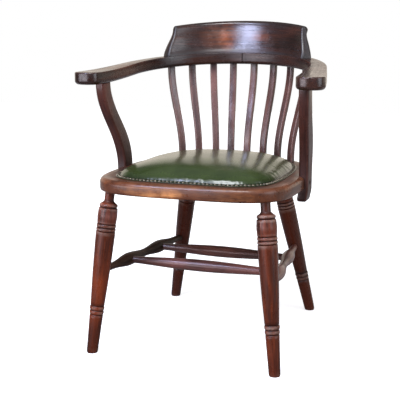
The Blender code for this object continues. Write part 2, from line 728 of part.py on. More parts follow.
def make_slats(rails, arms, wood, parent):
    for number in range(SLAT_COUNT):
        name = f"slat_{number + 1}"
        add(name, slat_mesh(name, number), wood, parent=parent)
        mortise = cutter("mortise_" + name, slat_mesh("mortise", number, GAP))
        cut(rails["back_seat_rail"], mortise)
        cut(arms["left"] if number < SLAT_COUNT / 2 else arms["right"], mortise)


# Arm supports


def support_foot_x():
    return seat_edge_x(SUPPORT_FOOT_Y, even(0)) - SUPPORT_HOUSING + SUPPORT_THICK / 2


def support_top_x():
    ahead = (ARC_END.y - SUPPORT_TOP_Y) / -ARM_AHEAD.y
    return ARC_END.x + ahead * ARM_AHEAD.x - SUPPORT_INSET


def arm_under(x, y):
    return arm_top(arm_place(x, y)) - ARM_THICK


def support_ring(x, y, z, half_thick, half_width, corner, side):
    outline = rounded_rectangle(half_thick, half_width, (corner,) * 4)
    return [Vector((side * (x + u), y + v, z)) for u, v in outline]


def support_mesh(name, side):
    """Post with a rounded lower end, an S-curve above the seat, and a shouldered tenon in the arm."""
    low = Vector((support_foot_x(), SUPPORT_FOOT_Y))
    high = Vector((support_top_x(), SUPPORT_TOP_Y))
    half_thick, half_foot, half_top = SUPPORT_THICK / 2, SUPPORT_FOOT_WIDTH / 2, SUPPORT_WIDTH / 2
    bottom = UNDERSIDE - SUPPORT_DROP
    rise = arm_under(*high) - GAP - SEAT_TOP
    rings = []
    for draw, lift in quarter_round(3):
        edge = draw * SUPPORT_END_ROUND
        corner = max(SUPPORT_ROUND - edge / 2, SUPPORT_ROUND / 4)
        z = bottom + lift * SUPPORT_END_ROUND
        rings.append(support_ring(*low, z, half_thick - edge / 2, half_foot - edge, corner, side))
    steps = 8
    for k in range(steps + 1):
        t = k / steps
        lean = 6 * t * (1 - t) * (high.y - low.y) / rise
        centre = low.lerp(high, smooth_step(t))
        broad = (half_foot + (half_top - half_foot) * smooth_step(t)) * math.hypot(1, lean)
        rings.append(support_ring(*centre, SEAT_TOP + t * rise, half_thick, broad, SUPPORT_ROUND, side))
    for point in rings[-1]:
        point.z = arm_under(point.x, point.y) - GAP
    tenon = support_tenon_ring(high, 0.0, side)
    for point in tenon:
        point.z = arm_under(point.x, point.y) - GAP
    rings += [tenon, support_tenon_ring(high, SUPPORT_TENON, side)]
    return loft(name, rings)


def support_tenon_ring(high, lift, side, grow=0.0):
    half_thick = SUPPORT_THICK / 2 - SUPPORT_TENON_SHOULDER + grow
    half_width = SUPPORT_WIDTH / 2 - SUPPORT_TENON_SHOULDER + grow
    corner = SUPPORT_ROUND - SUPPORT_TENON_SHOULDER / 2 + grow
    return support_ring(*high, arm_under(*high) + lift, half_thick, half_width, corner, side)


def make_supports(rails, arms, wood, brass, parent):
    low = Vector((support_foot_x(), SUPPORT_FOOT_Y))
    high = Vector((support_top_x(), SUPPORT_TOP_Y))
    reach = SUPPORT_DROP + SUPPORT_END_ROUND
    for side, word in ((-1, "left"), (1, "right")):
        name = f"{word}_arm_support"
        support = add(name, support_mesh(name, side), wood, parent=parent)
        sizes = (SUPPORT_THICK / 2 + GAP, SUPPORT_FOOT_WIDTH / 2 + GAP, SUPPORT_ROUND + GAP, side)
        housing = [support_ring(*low, z, *sizes) for z in (UNDERSIDE - reach, SEAT_TOP + reach)]
        rail = rails[f"{word}_seat_rail"]
        cut(rail, cutter("housing_" + name, loft("housing", housing)))
        lifts = (-ARM_UNDER_ROUND, SUPPORT_TENON + GAP)
        mortise = [support_tenon_ring(high, lift, side, GAP) for lift in lifts]
        cut(arms[word], cutter("mortise_" + name, loft("mortise", mortise)))
        make_support_screws(word, side, support, rail, wood, brass, parent)


def make_support_screws(word, side, support, rail, wood, brass, parent):
    """Two sunk screws hold each support to its rail; wooden pellets close their holes."""
    head, shank, pellet = SCREW_HEAD_D / 2, SCREW_SHANK_D / 2, PELLET_D / 2
    seat = PELLET_THICK + GAP + SCREW_HEAD_HEIGHT
    tip = PELLET_THICK + GAP + SCREW_LENGTH
    screw = [(PELLET_THICK + GAP, head), (seat, head), (seat, shank)]
    screw += [(tip - 3 * shank, shank), (tip, shank / 3)]
    bore = [(-PELLET_THICK, pellet + GAP), (seat + GAP, pellet + GAP)]
    bore += [(seat + GAP, shank + GAP), (tip + GAP, shank + GAP)]
    for number, offset in ((1, -SCREW_PITCH / 2), (2, SCREW_PITCH / 2)):
        outer = support_foot_x() + SUPPORT_THICK / 2
        start = Vector((side * outer, SUPPORT_FOOT_Y + offset, UNDERSIDE + RAIL_THICK / 2))
        placed = along_axis(start, start - Vector((side, 0, 0)))
        name = f"{word}_support_screw_{number}"
        add(name, turned(name, screw, DOWEL_SIDES), brass, placed, parent)
        hole = cutter("hole_" + name, turned("hole", bore, DOWEL_SIDES), placed)
        cut(support, hole)
        cut(rail, hole)
        name = f"{word}_support_pellet_{number}"
        plug = turned(name, [(0, pellet), (PELLET_THICK, pellet)], DOWEL_SIDES)
        add(name, plug, wood, placed, parent)


# Upholstery


def web_mesh(name, stations, across, lengthwise):
    """Flat strap through (place, height of its underside) stations, centred at a place across."""
    rings = []
    for place, height in stations:
        ring = []
        for u, v in ((-0.5, 0), (0.5, 0), (0.5, 1), (-0.5, 1)):
            side, z = across + u * WEB_WIDTH, height + v * WEB_THICK
            ring.append(Vector((side, place, z)) if lengthwise else Vector((place, side, z)))
        rings.append(ring)
    return loft(name, rings)


def web_stations(low_end, high_end, crossings, over):
    """Strap heights: down on the rails at its ends, over or under each strap that it crosses."""
    low = SEAT_TOP + GAP
    high = low + WEB_THICK + GAP
    flat = WEB_WIDTH / 2 + 4 * GAP
    stations = [(low_end, low)]
    for place, above in zip(crossings, over):
        level = high if above else low
        stations += [(place - flat, level), (place + flat, level)]
    return stations + [(high_end, low)]


def make_webs(web, parent):
    """Straps both ways across the opening, woven over and under each other."""
    landing = tuple(margin - WEB_LANDING for margin in OPENING)
    opening_front = SEAT_MID_Y - SEAT_FRONT_DEPTH + FRONT_RAIL_WIDTH
    opening_back = SEAT_MID_Y + SEAT_BACK_DEPTH - BACK_RAIL_WIDTH
    steps = [(k - (WEB_COUNT - 1) / 2) * WEB_PITCH_SHARE for k in range(WEB_COUNT)]
    places = [2 * step * (SEAT_HALF_WIDTH - SIDE_RAIL_WIDTH) for step in steps]
    middle = (opening_front + opening_back) / 2
    rows = [middle + step * (opening_back - opening_front) for step in steps]
    for i, x in enumerate(places):
        outer = abs(x) + WEB_WIDTH / 2
        half = SEAT_HALF_WIDTH - landing[0]
        share = outer / half
        front = (SEAT_FRONT_DEPTH - landing[1]) * (1 - share ** FRONT_SQUARENESS) ** (1 / FRONT_SQUARENESS)
        back = (SEAT_BACK_DEPTH - landing[2]) * (1 - share ** BACK_SQUARENESS) ** (1 / BACK_SQUARENESS)
        over = [(i + j) % 2 == 0 for j in range(WEB_COUNT)]
        stations = web_stations(SEAT_MID_Y - front, SEAT_MID_Y + back, rows, over)
        name = f"long_web_{i + 1}"
        add(name, web_mesh(name, stations, x, True), web, parent=parent)
    for j, y in enumerate(rows):
        half = min(seat_edge_x(y - WEB_WIDTH / 2, landing), seat_edge_x(y + WEB_WIDTH / 2, landing))
        over = [(i + j) % 2 == 1 for i in range(WEB_COUNT)]
        name = f"cross_web_{j + 1}"
        add(name, web_mesh(name, web_stations(-half, half, places, over), y, False), web, parent=parent)


def spread(margins, outward):
    """Margins moved outward by one distance all round."""
    return tuple(margin - outward for margin in margins)


def make_hessian(hessian, parent):
    """Cloth over the webs, with its rim turned down on to the rails."""
    inner = spread(PAD_EDGE, -HESSIAN_THICK)
    rings = [
        scaled_ring(inner, HESSIAN_LOW, 0.3),
        seat_ring(inner, HESSIAN_LOW, PAD_SIDES),
        seat_ring(inner, SEAT_TOP + GAP, PAD_SIDES),
        seat_ring(PAD_EDGE, SEAT_TOP + GAP, PAD_SIDES),
        seat_ring(PAD_EDGE, HESSIAN_LOW + HESSIAN_THICK, PAD_SIDES),
        scaled_ring(PAD_EDGE, HESSIAN_LOW + HESSIAN_THICK, 0.3),
    ]
    add("hessian_base", loft("hessian_base", rings), hessian, parent=parent)


def scaled_ring(margins, z, share):
    """Ring of the outline's shape at a share of its size, about the seat's middle."""
    middle = Vector((0, SEAT_MID_Y, 0))
    ring = seat_ring(margins, z, PAD_SIDES)
    return [Vector((*(middle.xy + share * (point.xy - middle.xy)), z)) for point in ring]


def crown(share, rise):
    """Height of the stuffing above its edge, at a share of the way out from the middle."""
    return rise * (1 - share ** PAD_FULLNESS) ** PAD_EDGE_ROLL


def dome_rings(margins, low, rise):
    """Rings of a crowned pad, from its rim to its middle."""
    shares = (1.0, 0.98, 0.93, 0.84, 0.70, 0.48, 0.15)
    return [scaled_ring(margins, low + crown(share, rise), share) for share in shares]


def make_pad(stuffing, leather, parent):
    """Crowned stuffing, and the leather drawn over it to a flange that is nailed to the rails."""
    dome = dome_rings(PAD_EDGE, PAD_LOW, PAD_CROWN)
    rings = [scaled_ring(PAD_EDGE, PAD_LOW, 0.15), *dome]
    add("stuffing_pad", loft("stuffing_pad", rings), stuffing, parent=parent)
    inside = spread(PAD_EDGE, GAP)
    outside = spread(PAD_EDGE, GAP + LEATHER_THICK)
    flange = spread(PAD_EDGE, GAP + LEATHER_THICK + LEATHER_FLANGE)
    foot, lip = SEAT_TOP + GAP, SEAT_TOP + GAP + LEATHER_THICK
    rings = list(reversed(dome_rings(inside, PAD_LOW, PAD_CROWN + GAP)))
    rings += [seat_ring(inside, foot, PAD_SIDES), seat_ring(flange, foot, PAD_SIDES)]
    rings += [seat_ring(flange, lip, PAD_SIDES), seat_ring(outside, lip, PAD_SIDES)]
    rings += dome_rings(outside, PAD_LOW, PAD_CROWN + GAP + LEATHER_THICK)
    add("leather_cover", loft("leather_cover", rings), leather, parent=parent)


def build():
    clear_scene()
    chair = bpy.data.objects.new("chair", None)
    bpy.context.scene.collection.objects.link(chair)
    wood = finish("stained_wood", (0.075, 0.028, 0.016), 0.32)
    leather = finish("green_leather", (0.020, 0.050, 0.018), 0.30)
    web = finish("jute_web", (0.42, 0.33, 0.20), 0.9)
    hessian = finish("hessian", (0.36, 0.27, 0.15), 0.95)
    stuffing = finish("horsehair", (0.10, 0.08, 0.06), 0.95)
    brass = finish("screw_brass", (0.45, 0.30, 0.12), 0.4, 1.0)
    rails = make_rails(wood, chair)
    make_seat_dowels(rails, wood, chair)
    legs = make_legs(rails, wood, chair)
    make_stretchers(legs, wood, chair)
    arms = make_arms(wood, chair)
    make_crest(arms, wood, chair)
    make_slats(rails, arms, wood, chair)
    make_supports(rails, arms, wood, brass, chair)
    make_webs(web, chair)
    make_hessian(hessian, chair)
    make_pad(stuffing, leather, chair)


build()
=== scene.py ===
"""Looks for the desk armchair: finely turned and shaped wood, nailed green leather, soft studio light."""

import contextlib
import random
from bisect import bisect_left
from math import copysign, cos, exp, hypot, inf, pi, radians, sin

import bmesh
import bpy
from mathutils import Matrix, Vector, kdtree, noise


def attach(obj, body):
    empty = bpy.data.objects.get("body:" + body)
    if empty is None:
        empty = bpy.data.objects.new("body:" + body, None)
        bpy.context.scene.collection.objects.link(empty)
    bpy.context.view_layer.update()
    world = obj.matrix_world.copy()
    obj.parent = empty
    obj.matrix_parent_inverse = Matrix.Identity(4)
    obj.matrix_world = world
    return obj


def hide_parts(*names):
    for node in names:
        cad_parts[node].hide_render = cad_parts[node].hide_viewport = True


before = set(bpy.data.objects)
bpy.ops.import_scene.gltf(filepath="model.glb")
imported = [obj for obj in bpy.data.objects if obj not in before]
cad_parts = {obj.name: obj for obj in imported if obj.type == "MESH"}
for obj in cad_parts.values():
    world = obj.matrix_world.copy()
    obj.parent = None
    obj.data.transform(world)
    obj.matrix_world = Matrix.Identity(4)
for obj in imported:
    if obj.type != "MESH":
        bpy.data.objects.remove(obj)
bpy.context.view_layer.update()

# Fit: the gap left between faces that are glued or seated
GAP = 0.0003

# Seat frame
SEAT_TOP = 0.455
RAIL_THICK = 0.034
SEAT_HALF_WIDTH = 0.257
SEAT_MID_Y = -0.066
SEAT_FRONT_DEPTH = 0.2265
SEAT_BACK_DEPTH = 0.325
FRONT_SQUARENESS = 4.0
BACK_SQUARENESS = 2.7
OPENING = (0.070, 0.070, 0.088)
SEAT_TOP_ROUND = 0.012
SEAT_BOTTOM_ROUND = 0.005
FRONT_RAIL_DEPTH = 0.08
BACK_RAIL_DEPTH = 0.149
FRONT_JOINT_Y = SEAT_MID_Y - SEAT_FRONT_DEPTH + FRONT_RAIL_DEPTH
BACK_JOINT_Y = SEAT_MID_Y + SEAT_BACK_DEPTH - BACK_RAIL_DEPTH
UNDERSIDE = SEAT_TOP - RAIL_THICK

# Legs: angle round the seat, margin from its edge, and how far the foot stands out and back
LEG_PLACES = {
    "front": (radians(130.6), 0.0165, (0.0405, -0.0415)),
    "back": (radians(29.5), 0.0535, (0.081, 0.087)),
}
LEG_NECK_D = 0.0246
LEG_NECK_LENGTH = 0.0235
LEG_COLLAR_D = 0.0468
LEG_COLLAR_HEIGHT = 0.0165
LEG_BARREL_D = 0.0506
LEG_BARREL_LENGTH = 0.042
LEG_SHAFT_D = 0.05
LEG_SHAFT_END_D = 0.036
LEG_SHAFT_SWELL = 0.001
LEG_ANKLE_D = 0.035
LEG_FOOT_D = 0.0292
LEG_BEAD_HEIGHT = 0.0096
LEG_GROOVE_DEPTH = 0.0022
LEG_BEAD_OUT = 0.001
LOWER_BEAD_HEIGHT = 0.0118
LOWER_RING_HEIGHT = 0.114
NECK_RUN = 0.02
NECK_DARK_FADE = 0.016

# Stretchers: the hold is how far a tenon runs in
SIDE_STRETCHER_Z = {"front": 0.2155, "back": 0.203}
SIDE_STRETCHER_D = 0.0215
SIDE_STRETCHER_END_D = 0.018
BOBBIN_D = 0.035
CROSS_SHARES = {"front": 0.30, "back": 0.67}
CROSS_STRETCHER_D = 0.032
CROSS_STRETCHER_END_D = 0.018
STRETCHER_HOLD = 0.004

# Arm rail
BOW_RADIUS = 0.268
BOW_CENTRE_Y = 0.003
ARM_SPLAY = radians(7.4)
ARC_ANGLE = pi / 2 - ARM_SPLAY
ARM_FRONT_Y = -0.201
ARM_FRONT_TOP = 0.7175
ARM_RISE = 0.0385
ARM_FALL = 1.12
ARM_THICK = 0.032
ARM_BACK_WIDTH = 0.054
ARM_WAIST_WIDTH = 0.0415
ARM_PADDLE_WIDTH = 0.073
ARM_EDGE_ROUND = 0.0035
ARM_UNDER_ROUND = 0.01
ARM_SQUARE_EDGE = 0.0012
ARM_END_DEPTH = 0.034
ARM_END_SQUARENESS = 2.3
ARM_EDGE_FADE = 0.4
ARM_LAST_TURN = pi / 2 * 0.9995
ARC_LENGTH = BOW_RADIUS * ARC_ANGLE
ARC_END = Vector((BOW_RADIUS * sin(ARC_ANGLE), BOW_CENTRE_Y + BOW_RADIUS * cos(ARC_ANGLE)))
ARM_AHEAD = Vector((cos(ARC_ANGLE), -sin(ARC_ANGLE)))
ARM_LENGTH = ARC_LENGTH + (ARC_END.y - ARM_FRONT_Y) / sin(ARC_ANGLE)

# Joint of the two arms: the ends lap a little, behind a fine groove
JOINT_LAP = 0.00005
JOINT_GROOVE = 0.0014
JOINT_GROOVE_DEPTH = 0.0011
JOINT_PLAIN_FROM = 0.0026
JOINT_DIRT = 0.0032

# Crest rail
CREST_TOP = 0.848
CREST_END_DROP = 0.0155
CREST_BASE_ANGLE = radians(52.0)
CREST_TOP_ANGLE = radians(44.8)
CREST_FRONT_SETBACK = 0.0006
CREST_BASE_BACK = 0.0115
CREST_TOP_THICK = 0.023
CREST_TOP_BACK = 0.02
CREST_TOP_ROUND = 0.01
CREST_EASE = 0.0065

# Slats: each has its own small shift along the rail and its own tone
SLAT_COUNT = 8
SLAT_WIDTH = 0.02
SLAT_THICK = 0.014
SLAT_ROUND = 0.004
SLAT_BASE_STEP = radians(9.5)
SLAT_TOP_STEP = radians(13.35)
SLAT_BASE_INSET = 0.0275
SLAT_TOP_SETBACK = 0.005
SLAT_BEND_START = 0.05
SLAT_SEATING = 0.002
SLAT_SHIFTS = (-0.0005, 0.0005, 0.0010, -0.0036, -0.0038, -0.0036, -0.0040, 0.0030)
SLAT_TONES = (0.80, 1.0, 0.95, 1.0, 0.88, 0.85, 0.80, 0.95)
# Painted shade near the slats' ends, and more at their foot
SLAT_END_SHADE = 0.012
SLAT_FOOT_SHADE = 0.07

# Arm supports
SUPPORT_THICK = 0.026
SUPPORT_WIDTH = 0.045
SUPPORT_FOOT_WIDTH = 0.052
SUPPORT_ROUND = 0.0065
SUPPORT_FOOT_Y = -0.030
SUPPORT_HOUSING = 0.0155
SUPPORT_DROP = 0.034
SUPPORT_END_ROUND = 0.01
SUPPORT_TOP_Y = -0.128
SUPPORT_INSET = 0.016
SUPPORT_BULGE = 0.0054
SUPPORT_TAIL_TURN = 0.0045
SUPPORT_DARK_REACH = 0.1

# Upholstery: sizes of the pad and the leather, then its gathers, the painted shade along its nailed rim, and
# its nails
PAD_EDGE = (0.053, 0.042, 0.050)
WEB_THICK = 0.0015
HESSIAN_THICK = 0.0012
PAD_LOW = SEAT_TOP + 2 * WEB_THICK + HESSIAN_THICK + 4 * GAP
PAD_CROWN = 0.0423
PAD_FULLNESS = 2.4
PAD_EDGE_ROLL = 0.6
LEATHER_THICK = 0.002
LEATHER_FLANGE = 0.012
LEATHER_LIP = SEAT_TOP + GAP + LEATHER_THICK
LIP_TURN = 0.0016
LIP_LIFT = 0.0008
LIP_FLAT = 0.0045
FLANGE_EASE = 0.0008
FLANGE_DROP = 0.0007
HOLD_START = 0.93
HOLD_FADE = 0.06
CLOTH_START = 0.9
CLOTH_REACH = 0.007
CLOTH_FRAMES = 20
CLOTH_SETTINGS = {
    "quality": 6, "mass": 0.3, "tension_stiffness": 30, "compression_stiffness": 30, "shear_stiffness": 15,
    "bending_stiffness": 6, "use_pressure": True, "uniform_pressure_force": 4.0,
}
GATHER_REACH = 0.06
GATHER_BELOW = 0.0004
GATHER_LOW = 0.0006
GATHER_FADE = 0.002
TUCK_DEPTH = 0.0009
TUCK_MEAN = 0.55
TUCK_START = 0.004
TUCK_FADE = 0.007
RIPPLE_DEPTH = 0.0011
RIPPLE_REACH = 0.012
RIPPLES = ((1.0, 55, 3.1), (0.6, 140, 7.7))
RIM_SHADE_REACH = 0.008
RIM_SHADE_PLACE = 0.0005
NAIL_PITCH = 0.0104
NAIL_RADIUS = 0.0044
NAIL_HEIGHT = 0.003
NAIL_ROW = 0.52 * LEATHER_FLANGE
NAIL_SINK = 0.0003
NAIL_STRAY = 0.0003
NAIL_TILT = 0.06

# Facets of the finer pieces
SEAT_SIDES = 256
LEG_SIDES = 48
STRETCHER_SIDES = 36
BEAD_STEPS = 12
NAIL_SIDES = 14
CORNER_STEPS = 6
END_STEPS = 8
SIDE_STRETCHER_STEPS = 70
CROSS_STRETCHER_STEPS = 60
ARC_STEPS = 60
ARM_RUN_STEPS = 24
ARM_END_STEPS = 22
CREST_STEPS = 72
CREST_RISE_STEPS = 20
CREST_ROUND_STEPS = 14
CREST_EASE_STEPS = 5
SLAT_STEPS = 36
SUPPORT_STEPS = 48
NAIL_PATH_STEPS = 2000
PAD_GRID = 100

# Wood: how the grain of one piece lies apart from that of the next, and the near-black colour of its
# darkening: a dark joint at the arms, painted shade in several other places
GRAIN_SHIFT = (1.7, 0.311, 0.173)
DARKENING_COLOUR = (0.010, 0.006, 0.005)
PORE_COLOUR = (0.012, 0.006, 0.004)

# Worn patches: centre, radii and strength
SEAT_WEAR = (
    ((-0.075, -0.292, 0.430), (0.100, 0.024, 0.026), 1.0),
    ((-0.024, -0.292, 0.429), (0.046, 0.024, 0.019), 1.5),
    ((0.120, -0.290, 0.430), (0.110, 0.040, 0.026), 0.22),
)
# On the front legs' barrels the worn patches are partly a painted pool of light, stronger on the left leg.
LEG_WEAR_AND_LIGHT = (
    ((-0.211, -0.262, 0.362), (0.050, 0.040, 0.032), 0.8),
    ((0.211, -0.262, 0.362), (0.050, 0.040, 0.032), 0.35),
)
ARM_WEAR = (
    ((-0.070, 0.250, 0.800), (0.075, 0.040, 0.050), 0.5),
    ((-0.047, 0.254, 0.800), (0.030, 0.040, 0.050), 0.95),
    ((0.050, 0.253, 0.800), (0.034, 0.040, 0.026), 0.75),
    ((-0.262, -0.060, 0.720), (0.050, 0.170, 0.050), 0.2),
)

# Camera, fitted to the photograph (focal length and middle of the view in its pixels), and floor
CAMERA_AZIMUTH = radians(19.35)
CAMERA_ELEVATION = radians(10.68)
CAMERA_DISTANCE = 2.304
CAMERA_TARGET = Vector((0, -0.166, 0.42))
PHOTO_SIZE = 400
PHOTO_FOCAL = 902.9
PHOTO_CENTRE = (195.5, 191.4)
SENSOR_WIDTH = 36.0
FLOOR_HALF = 6.0


# Shapes


def smooth_step(t):
    t = min(max(t, 0.0), 1.0)
    return t * t * (3 - 2 * t)


def evenly(low, high, steps):
    """Even places from one value to another, with both ends."""
    return [low + (high - low) * k / steps for k in range(steps + 1)]


def through(table, place):
    """Smooth curve through (place, value) pairs, level at both ends."""
    for k in range(len(table) - 1):
        if place <= table[k + 1][0] or k == len(table) - 2:
            break
    (p0, v0), (p1, v1) = table[k], table[k + 1]
    slope = [0.0, 0.0]
    for side, j in enumerate((k, k + 1)):
        if 0 < j < len(table) - 1:
            slope[side] = (table[j + 1][1] - table[j - 1][1]) / (table[j + 1][0] - table[j - 1][0])
    span = p1 - p0
    t = min(max((place - p0) / span, 0.0), 1.0)
    start = (1 + 2 * t) * (1 - t) ** 2 * v0 + t * (1 - t) ** 2 * span * slope[0]
    return start + t * t * (3 - 2 * t) * v1 - t * t * (1 - t) * span * slope[1]


def quarter_round(steps):
    """(draw-in, rise) shares of a quarter circle, from its foot to its crown."""
    return [(1 - sin(a), 1 - cos(a)) for a in evenly(0, pi / 2, steps)]


def rounded_rectangle(half_u, half_v, radii):
    """Outline points (u, v, wear), from the corner (+,+) round to (+,-), worn at the corners."""
    outline = []
    for k, (su, sv) in enumerate(((1, 1), (-1, 1), (-1, -1), (1, -1))):
        for step in range(CORNER_STEPS + 1):
            angle = pi / 2 * (k + step / CORNER_STEPS)
            u = su * (half_u - radii[k]) + radii[k] * cos(angle)
            v = sv * (half_v - radii[k]) + radii[k] * sin(angle)
            outline.append((u, v, sin(pi * step / CORNER_STEPS)))
    return outline


@contextlib.contextmanager
def editing(mesh):
    """Open a mesh for editing, and write it back afterwards."""
    bm = bmesh.new()
    bm.from_mesh(mesh)
    yield bm
    bm.to_mesh(mesh)
    bm.free()


def mesh_of(name, points, faces, grain, wear_and_painted_light, offset=0.0, tone=1.0):
    """Mesh with the run of the grain, the wear and painted light, and the tone of the piece kept at each
    vertex.
    """
    mesh = bpy.data.meshes.new(name)
    mesh.from_pydata(points, [], faces)
    shift = Vector([offset * apart for apart in GRAIN_SHIFT])
    flat = [value for spot in grain for value in Vector(spot) + shift]
    mesh.attributes.new("grain", "FLOAT_VECTOR", "POINT").data.foreach_set("vector", flat)
    mesh.attributes.new("wear_and_painted_light", "FLOAT", "POINT").data.foreach_set("value", wear_and_painted_light)
    mesh.attributes.new("tone", "FLOAT", "POINT").data.foreach_set("value", [tone] * len(points))
    with editing(mesh) as bm:
        bmesh.ops.recalc_face_normals(bm, faces=bm.faces)
    return mesh


def bands(start, count, total, ring_loop=False):
    """Quads between rings of points that follow each other from one place in a list."""
    faces = []
    for i in range(total if ring_loop else total - 1):
        low, high = start + i * count, start + (i + 1) % total * count
        for k in range(count):
            m = (k + 1) % count
            faces.append((low + k, low + m, high + m, high + k))
    return faces


def loft(name, rings, offset=0.0, ring_loop=False, tone=1.0):
    """Closed mesh through rings of (point, grain, wear and painted light), capped or run round to its start.
    """
    count, total = len(rings[0]), len(rings)
    faces = bands(0, count, total, ring_loop)
    if not ring_loop:
        faces.append(tuple(range(count)))
        faces.append(tuple(range((total - 1) * count, total * count)))
    points, grain, wear_and_painted_light = zip(*[spot for ring in rings for spot in ring])
    return mesh_of(name, points, faces, grain, wear_and_painted_light, offset, tone)


def profile_wear_and_highlight(profile, reach=0.007, proud=0.0011, shallow=0.0006, deep=0.0025):
    """Wear along a turning: a lighter mark where it stands out, painted as a highlight on the legs' bead
    crowns, and darker where it is cut deep, most of all in the quirks.
    """
    marks = []
    for height, radius in profile:
        near = [r for h, r in profile if abs(h - height) <= reach]
        mean = sum(near) / len(near)
        stands_out = min(max((radius - mean) / proud, -1.0), 1.0)
        cut_deep = min(max((max(near) - min(near) - shallow) / deep, 0.0), 1.0)
        if stands_out > 0.25:
            marks.append(0.9 * stands_out)
        else:
            marks.append(max(0.8 * stands_out - 0.55 * cut_deep, -1.0))
    return marks


def turned(name, profile, sides, start, end, offset, tone=1.0, darker_from=inf):
    """Solid of revolution from (height, radius) pairs along an axis, darker above one height."""
    ahead = (end - start).normalized()
    placed = Matrix.Translation(start) @ ahead.to_track_quat("Z", "Y").to_matrix().to_4x4()
    rings = []
    for (height, radius), wear_and_painted_light in zip(profile, profile_wear_and_highlight(profile)):
        if height > darker_from:
            wear_and_painted_light = max(wear_and_painted_light, -0.45) - 0.35 * smooth_step((height - darker_from) / NECK_DARK_FADE)
        ring = []
        for k in range(sides):
            angle = 2 * pi * k / sides
            x, y = radius * cos(angle), radius * sin(angle)
            ring.append((placed @ Vector((x, y, height)), (height, x, y), wear_and_painted_light))
        rings.append(ring)
    return loft(name, rings, offset, tone=tone)


def trim(mesh, point, normal):
    """Cut a mesh flat and close it, keeping the side that the normal points to."""
    with editing(mesh) as bm:
        geometry = bm.verts[:] + bm.edges[:] + bm.faces[:]
        bmesh.ops.bisect_plane(bm, geom=geometry, plane_co=point, plane_no=normal, clear_inner=True)
        bmesh.ops.holes_fill(bm, edges=[edge for edge in bm.edges if edge.is_boundary], sides=0)
        bmesh.ops.recalc_face_normals(bm, faces=bm.faces)


def put(name, data):
    made = bpy.data.objects.new(name, data)
    bpy.context.scene.collection.objects.link(made)
    return made


def finished(thing):
    return bpy.data.meshes.new_from_object(thing.evaluated_get(bpy.context.evaluated_depsgraph_get()))


def piece(name, mesh, material, slot, *nodes, sharp=38.0):
    """Put a finished mesh in the scene in place of the solids that it stands for."""
    mesh.shade_smooth()
    mesh.set_sharp_from_angle(angle=radians(sharp))
    made = put(name, mesh)
    mesh.materials.clear()
    mesh.materials.append(material)
    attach(made, "root")
    if nodes:
        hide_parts(*nodes)
    return made


# Seat frame


def even(margin):
    return (margin,) * 3


def spread(margins, outward):
    """Margins moved outward by one distance all round."""
    return tuple(margin - outward for margin in margins)


def seat_half(behind, margins):
    """Depth and squareness of the back or the front half of the seat's outline."""
    _, front, back = margins
    if behind:
        return SEAT_BACK_DEPTH - back, BACK_SQUARENESS
    return SEAT_FRONT_DEPTH - front, FRONT_SQUARENESS


def seat_point(angle, margins, z):
    """Point of the seat's outline, drawn in by side, front and back margins, seen from the middle."""
    across, behind = sin(angle), cos(angle)
    half = SEAT_HALF_WIDTH - margins[0]
    depth, power = seat_half(behind > 0, margins)
    reach = (abs(across / half) ** power + abs(behind / depth) ** power) ** (-1 / power)
    return Vector((reach * across, SEAT_MID_Y + reach * behind, z))


def seat_edge_x(y, margins):
    """Half width of the seat's outline at a place along Y."""
    depth, power = seat_half(y > SEAT_MID_Y, margins)
    inside = max(1 - abs((y - SEAT_MID_Y) / depth) ** power, 0.0)
    return (SEAT_HALF_WIDTH - margins[0]) * inside ** (1 / power)


def seat_frame_mesh(name, lengthwise, offset):
    """The whole frame as one ring with its outer edges rounded, before it is cut into rails."""
    rows = []
    for draw, rise in quarter_round(END_STEPS // 2):
        rows.append((even(draw * SEAT_BOTTOM_ROUND), UNDERSIDE + rise * SEAT_BOTTOM_ROUND, 0.3))
    for k, (draw, rise) in enumerate(reversed(quarter_round(END_STEPS))):
        wear_and_painted_light = sin(pi * k / END_STEPS)
        rows.append((even(draw * SEAT_TOP_ROUND), SEAT_TOP - rise * SEAT_TOP_ROUND, wear_and_painted_light))
    for share in (0.3, 0.65, 1.0):
        margins = tuple(SEAT_TOP_ROUND + share * (margin - SEAT_TOP_ROUND) for margin in OPENING)
        rows.append((margins, SEAT_TOP, -0.5))
    rows.append((OPENING, UNDERSIDE, 0.0))
    rings = []
    for margins, z, wear_and_painted_light in rows:
        ring = []
        for k in range(SEAT_SIDES):
            spot = seat_point(2 * pi * k / SEAT_SIDES, margins, z)
            grain = (spot.y, spot.x, spot.z) if lengthwise else tuple(spot)
            ring.append((spot, grain, wear_and_painted_light))
        rings.append(ring)
    return loft(name, rings, offset, ring_loop=True)


def side_only(mesh, side):
    """Keep the part of a mesh on one side of the chair's middle."""
    with editing(mesh) as bm:
        other = [vert for vert in bm.verts if vert.co.x * side < 0]
        bmesh.ops.delete(bm, geom=other, context="VERTS")


def house(mesh, name, side):
    """Cut the open housing of an arm support into a side rail."""
    sizes = (SUPPORT_THICK / 2 + GAP, SUPPORT_FOOT_WIDTH / 2 + GAP, SUPPORT_ROUND + GAP)
    levels = (UNDERSIDE - SUPPORT_DROP, SEAT_TOP + SUPPORT_DROP)
    rings = [support_ring(support_foot_x(), SUPPORT_FOOT_Y, z, *sizes, side) for z in levels]
    tool = put(name + "_tool", loft(name + "_tool", rings))
    rail = put(name + "_raw", mesh)
    cut = rail.modifiers.new("housing", "BOOLEAN")
    cut.operation = "DIFFERENCE"
    cut.solver = "EXACT"
    cut.object = tool
    bpy.context.view_layer.update()
    done = finished(rail)
    for each in (tool, rail):
        bpy.data.objects.remove(each, do_unlink=True)
    return done


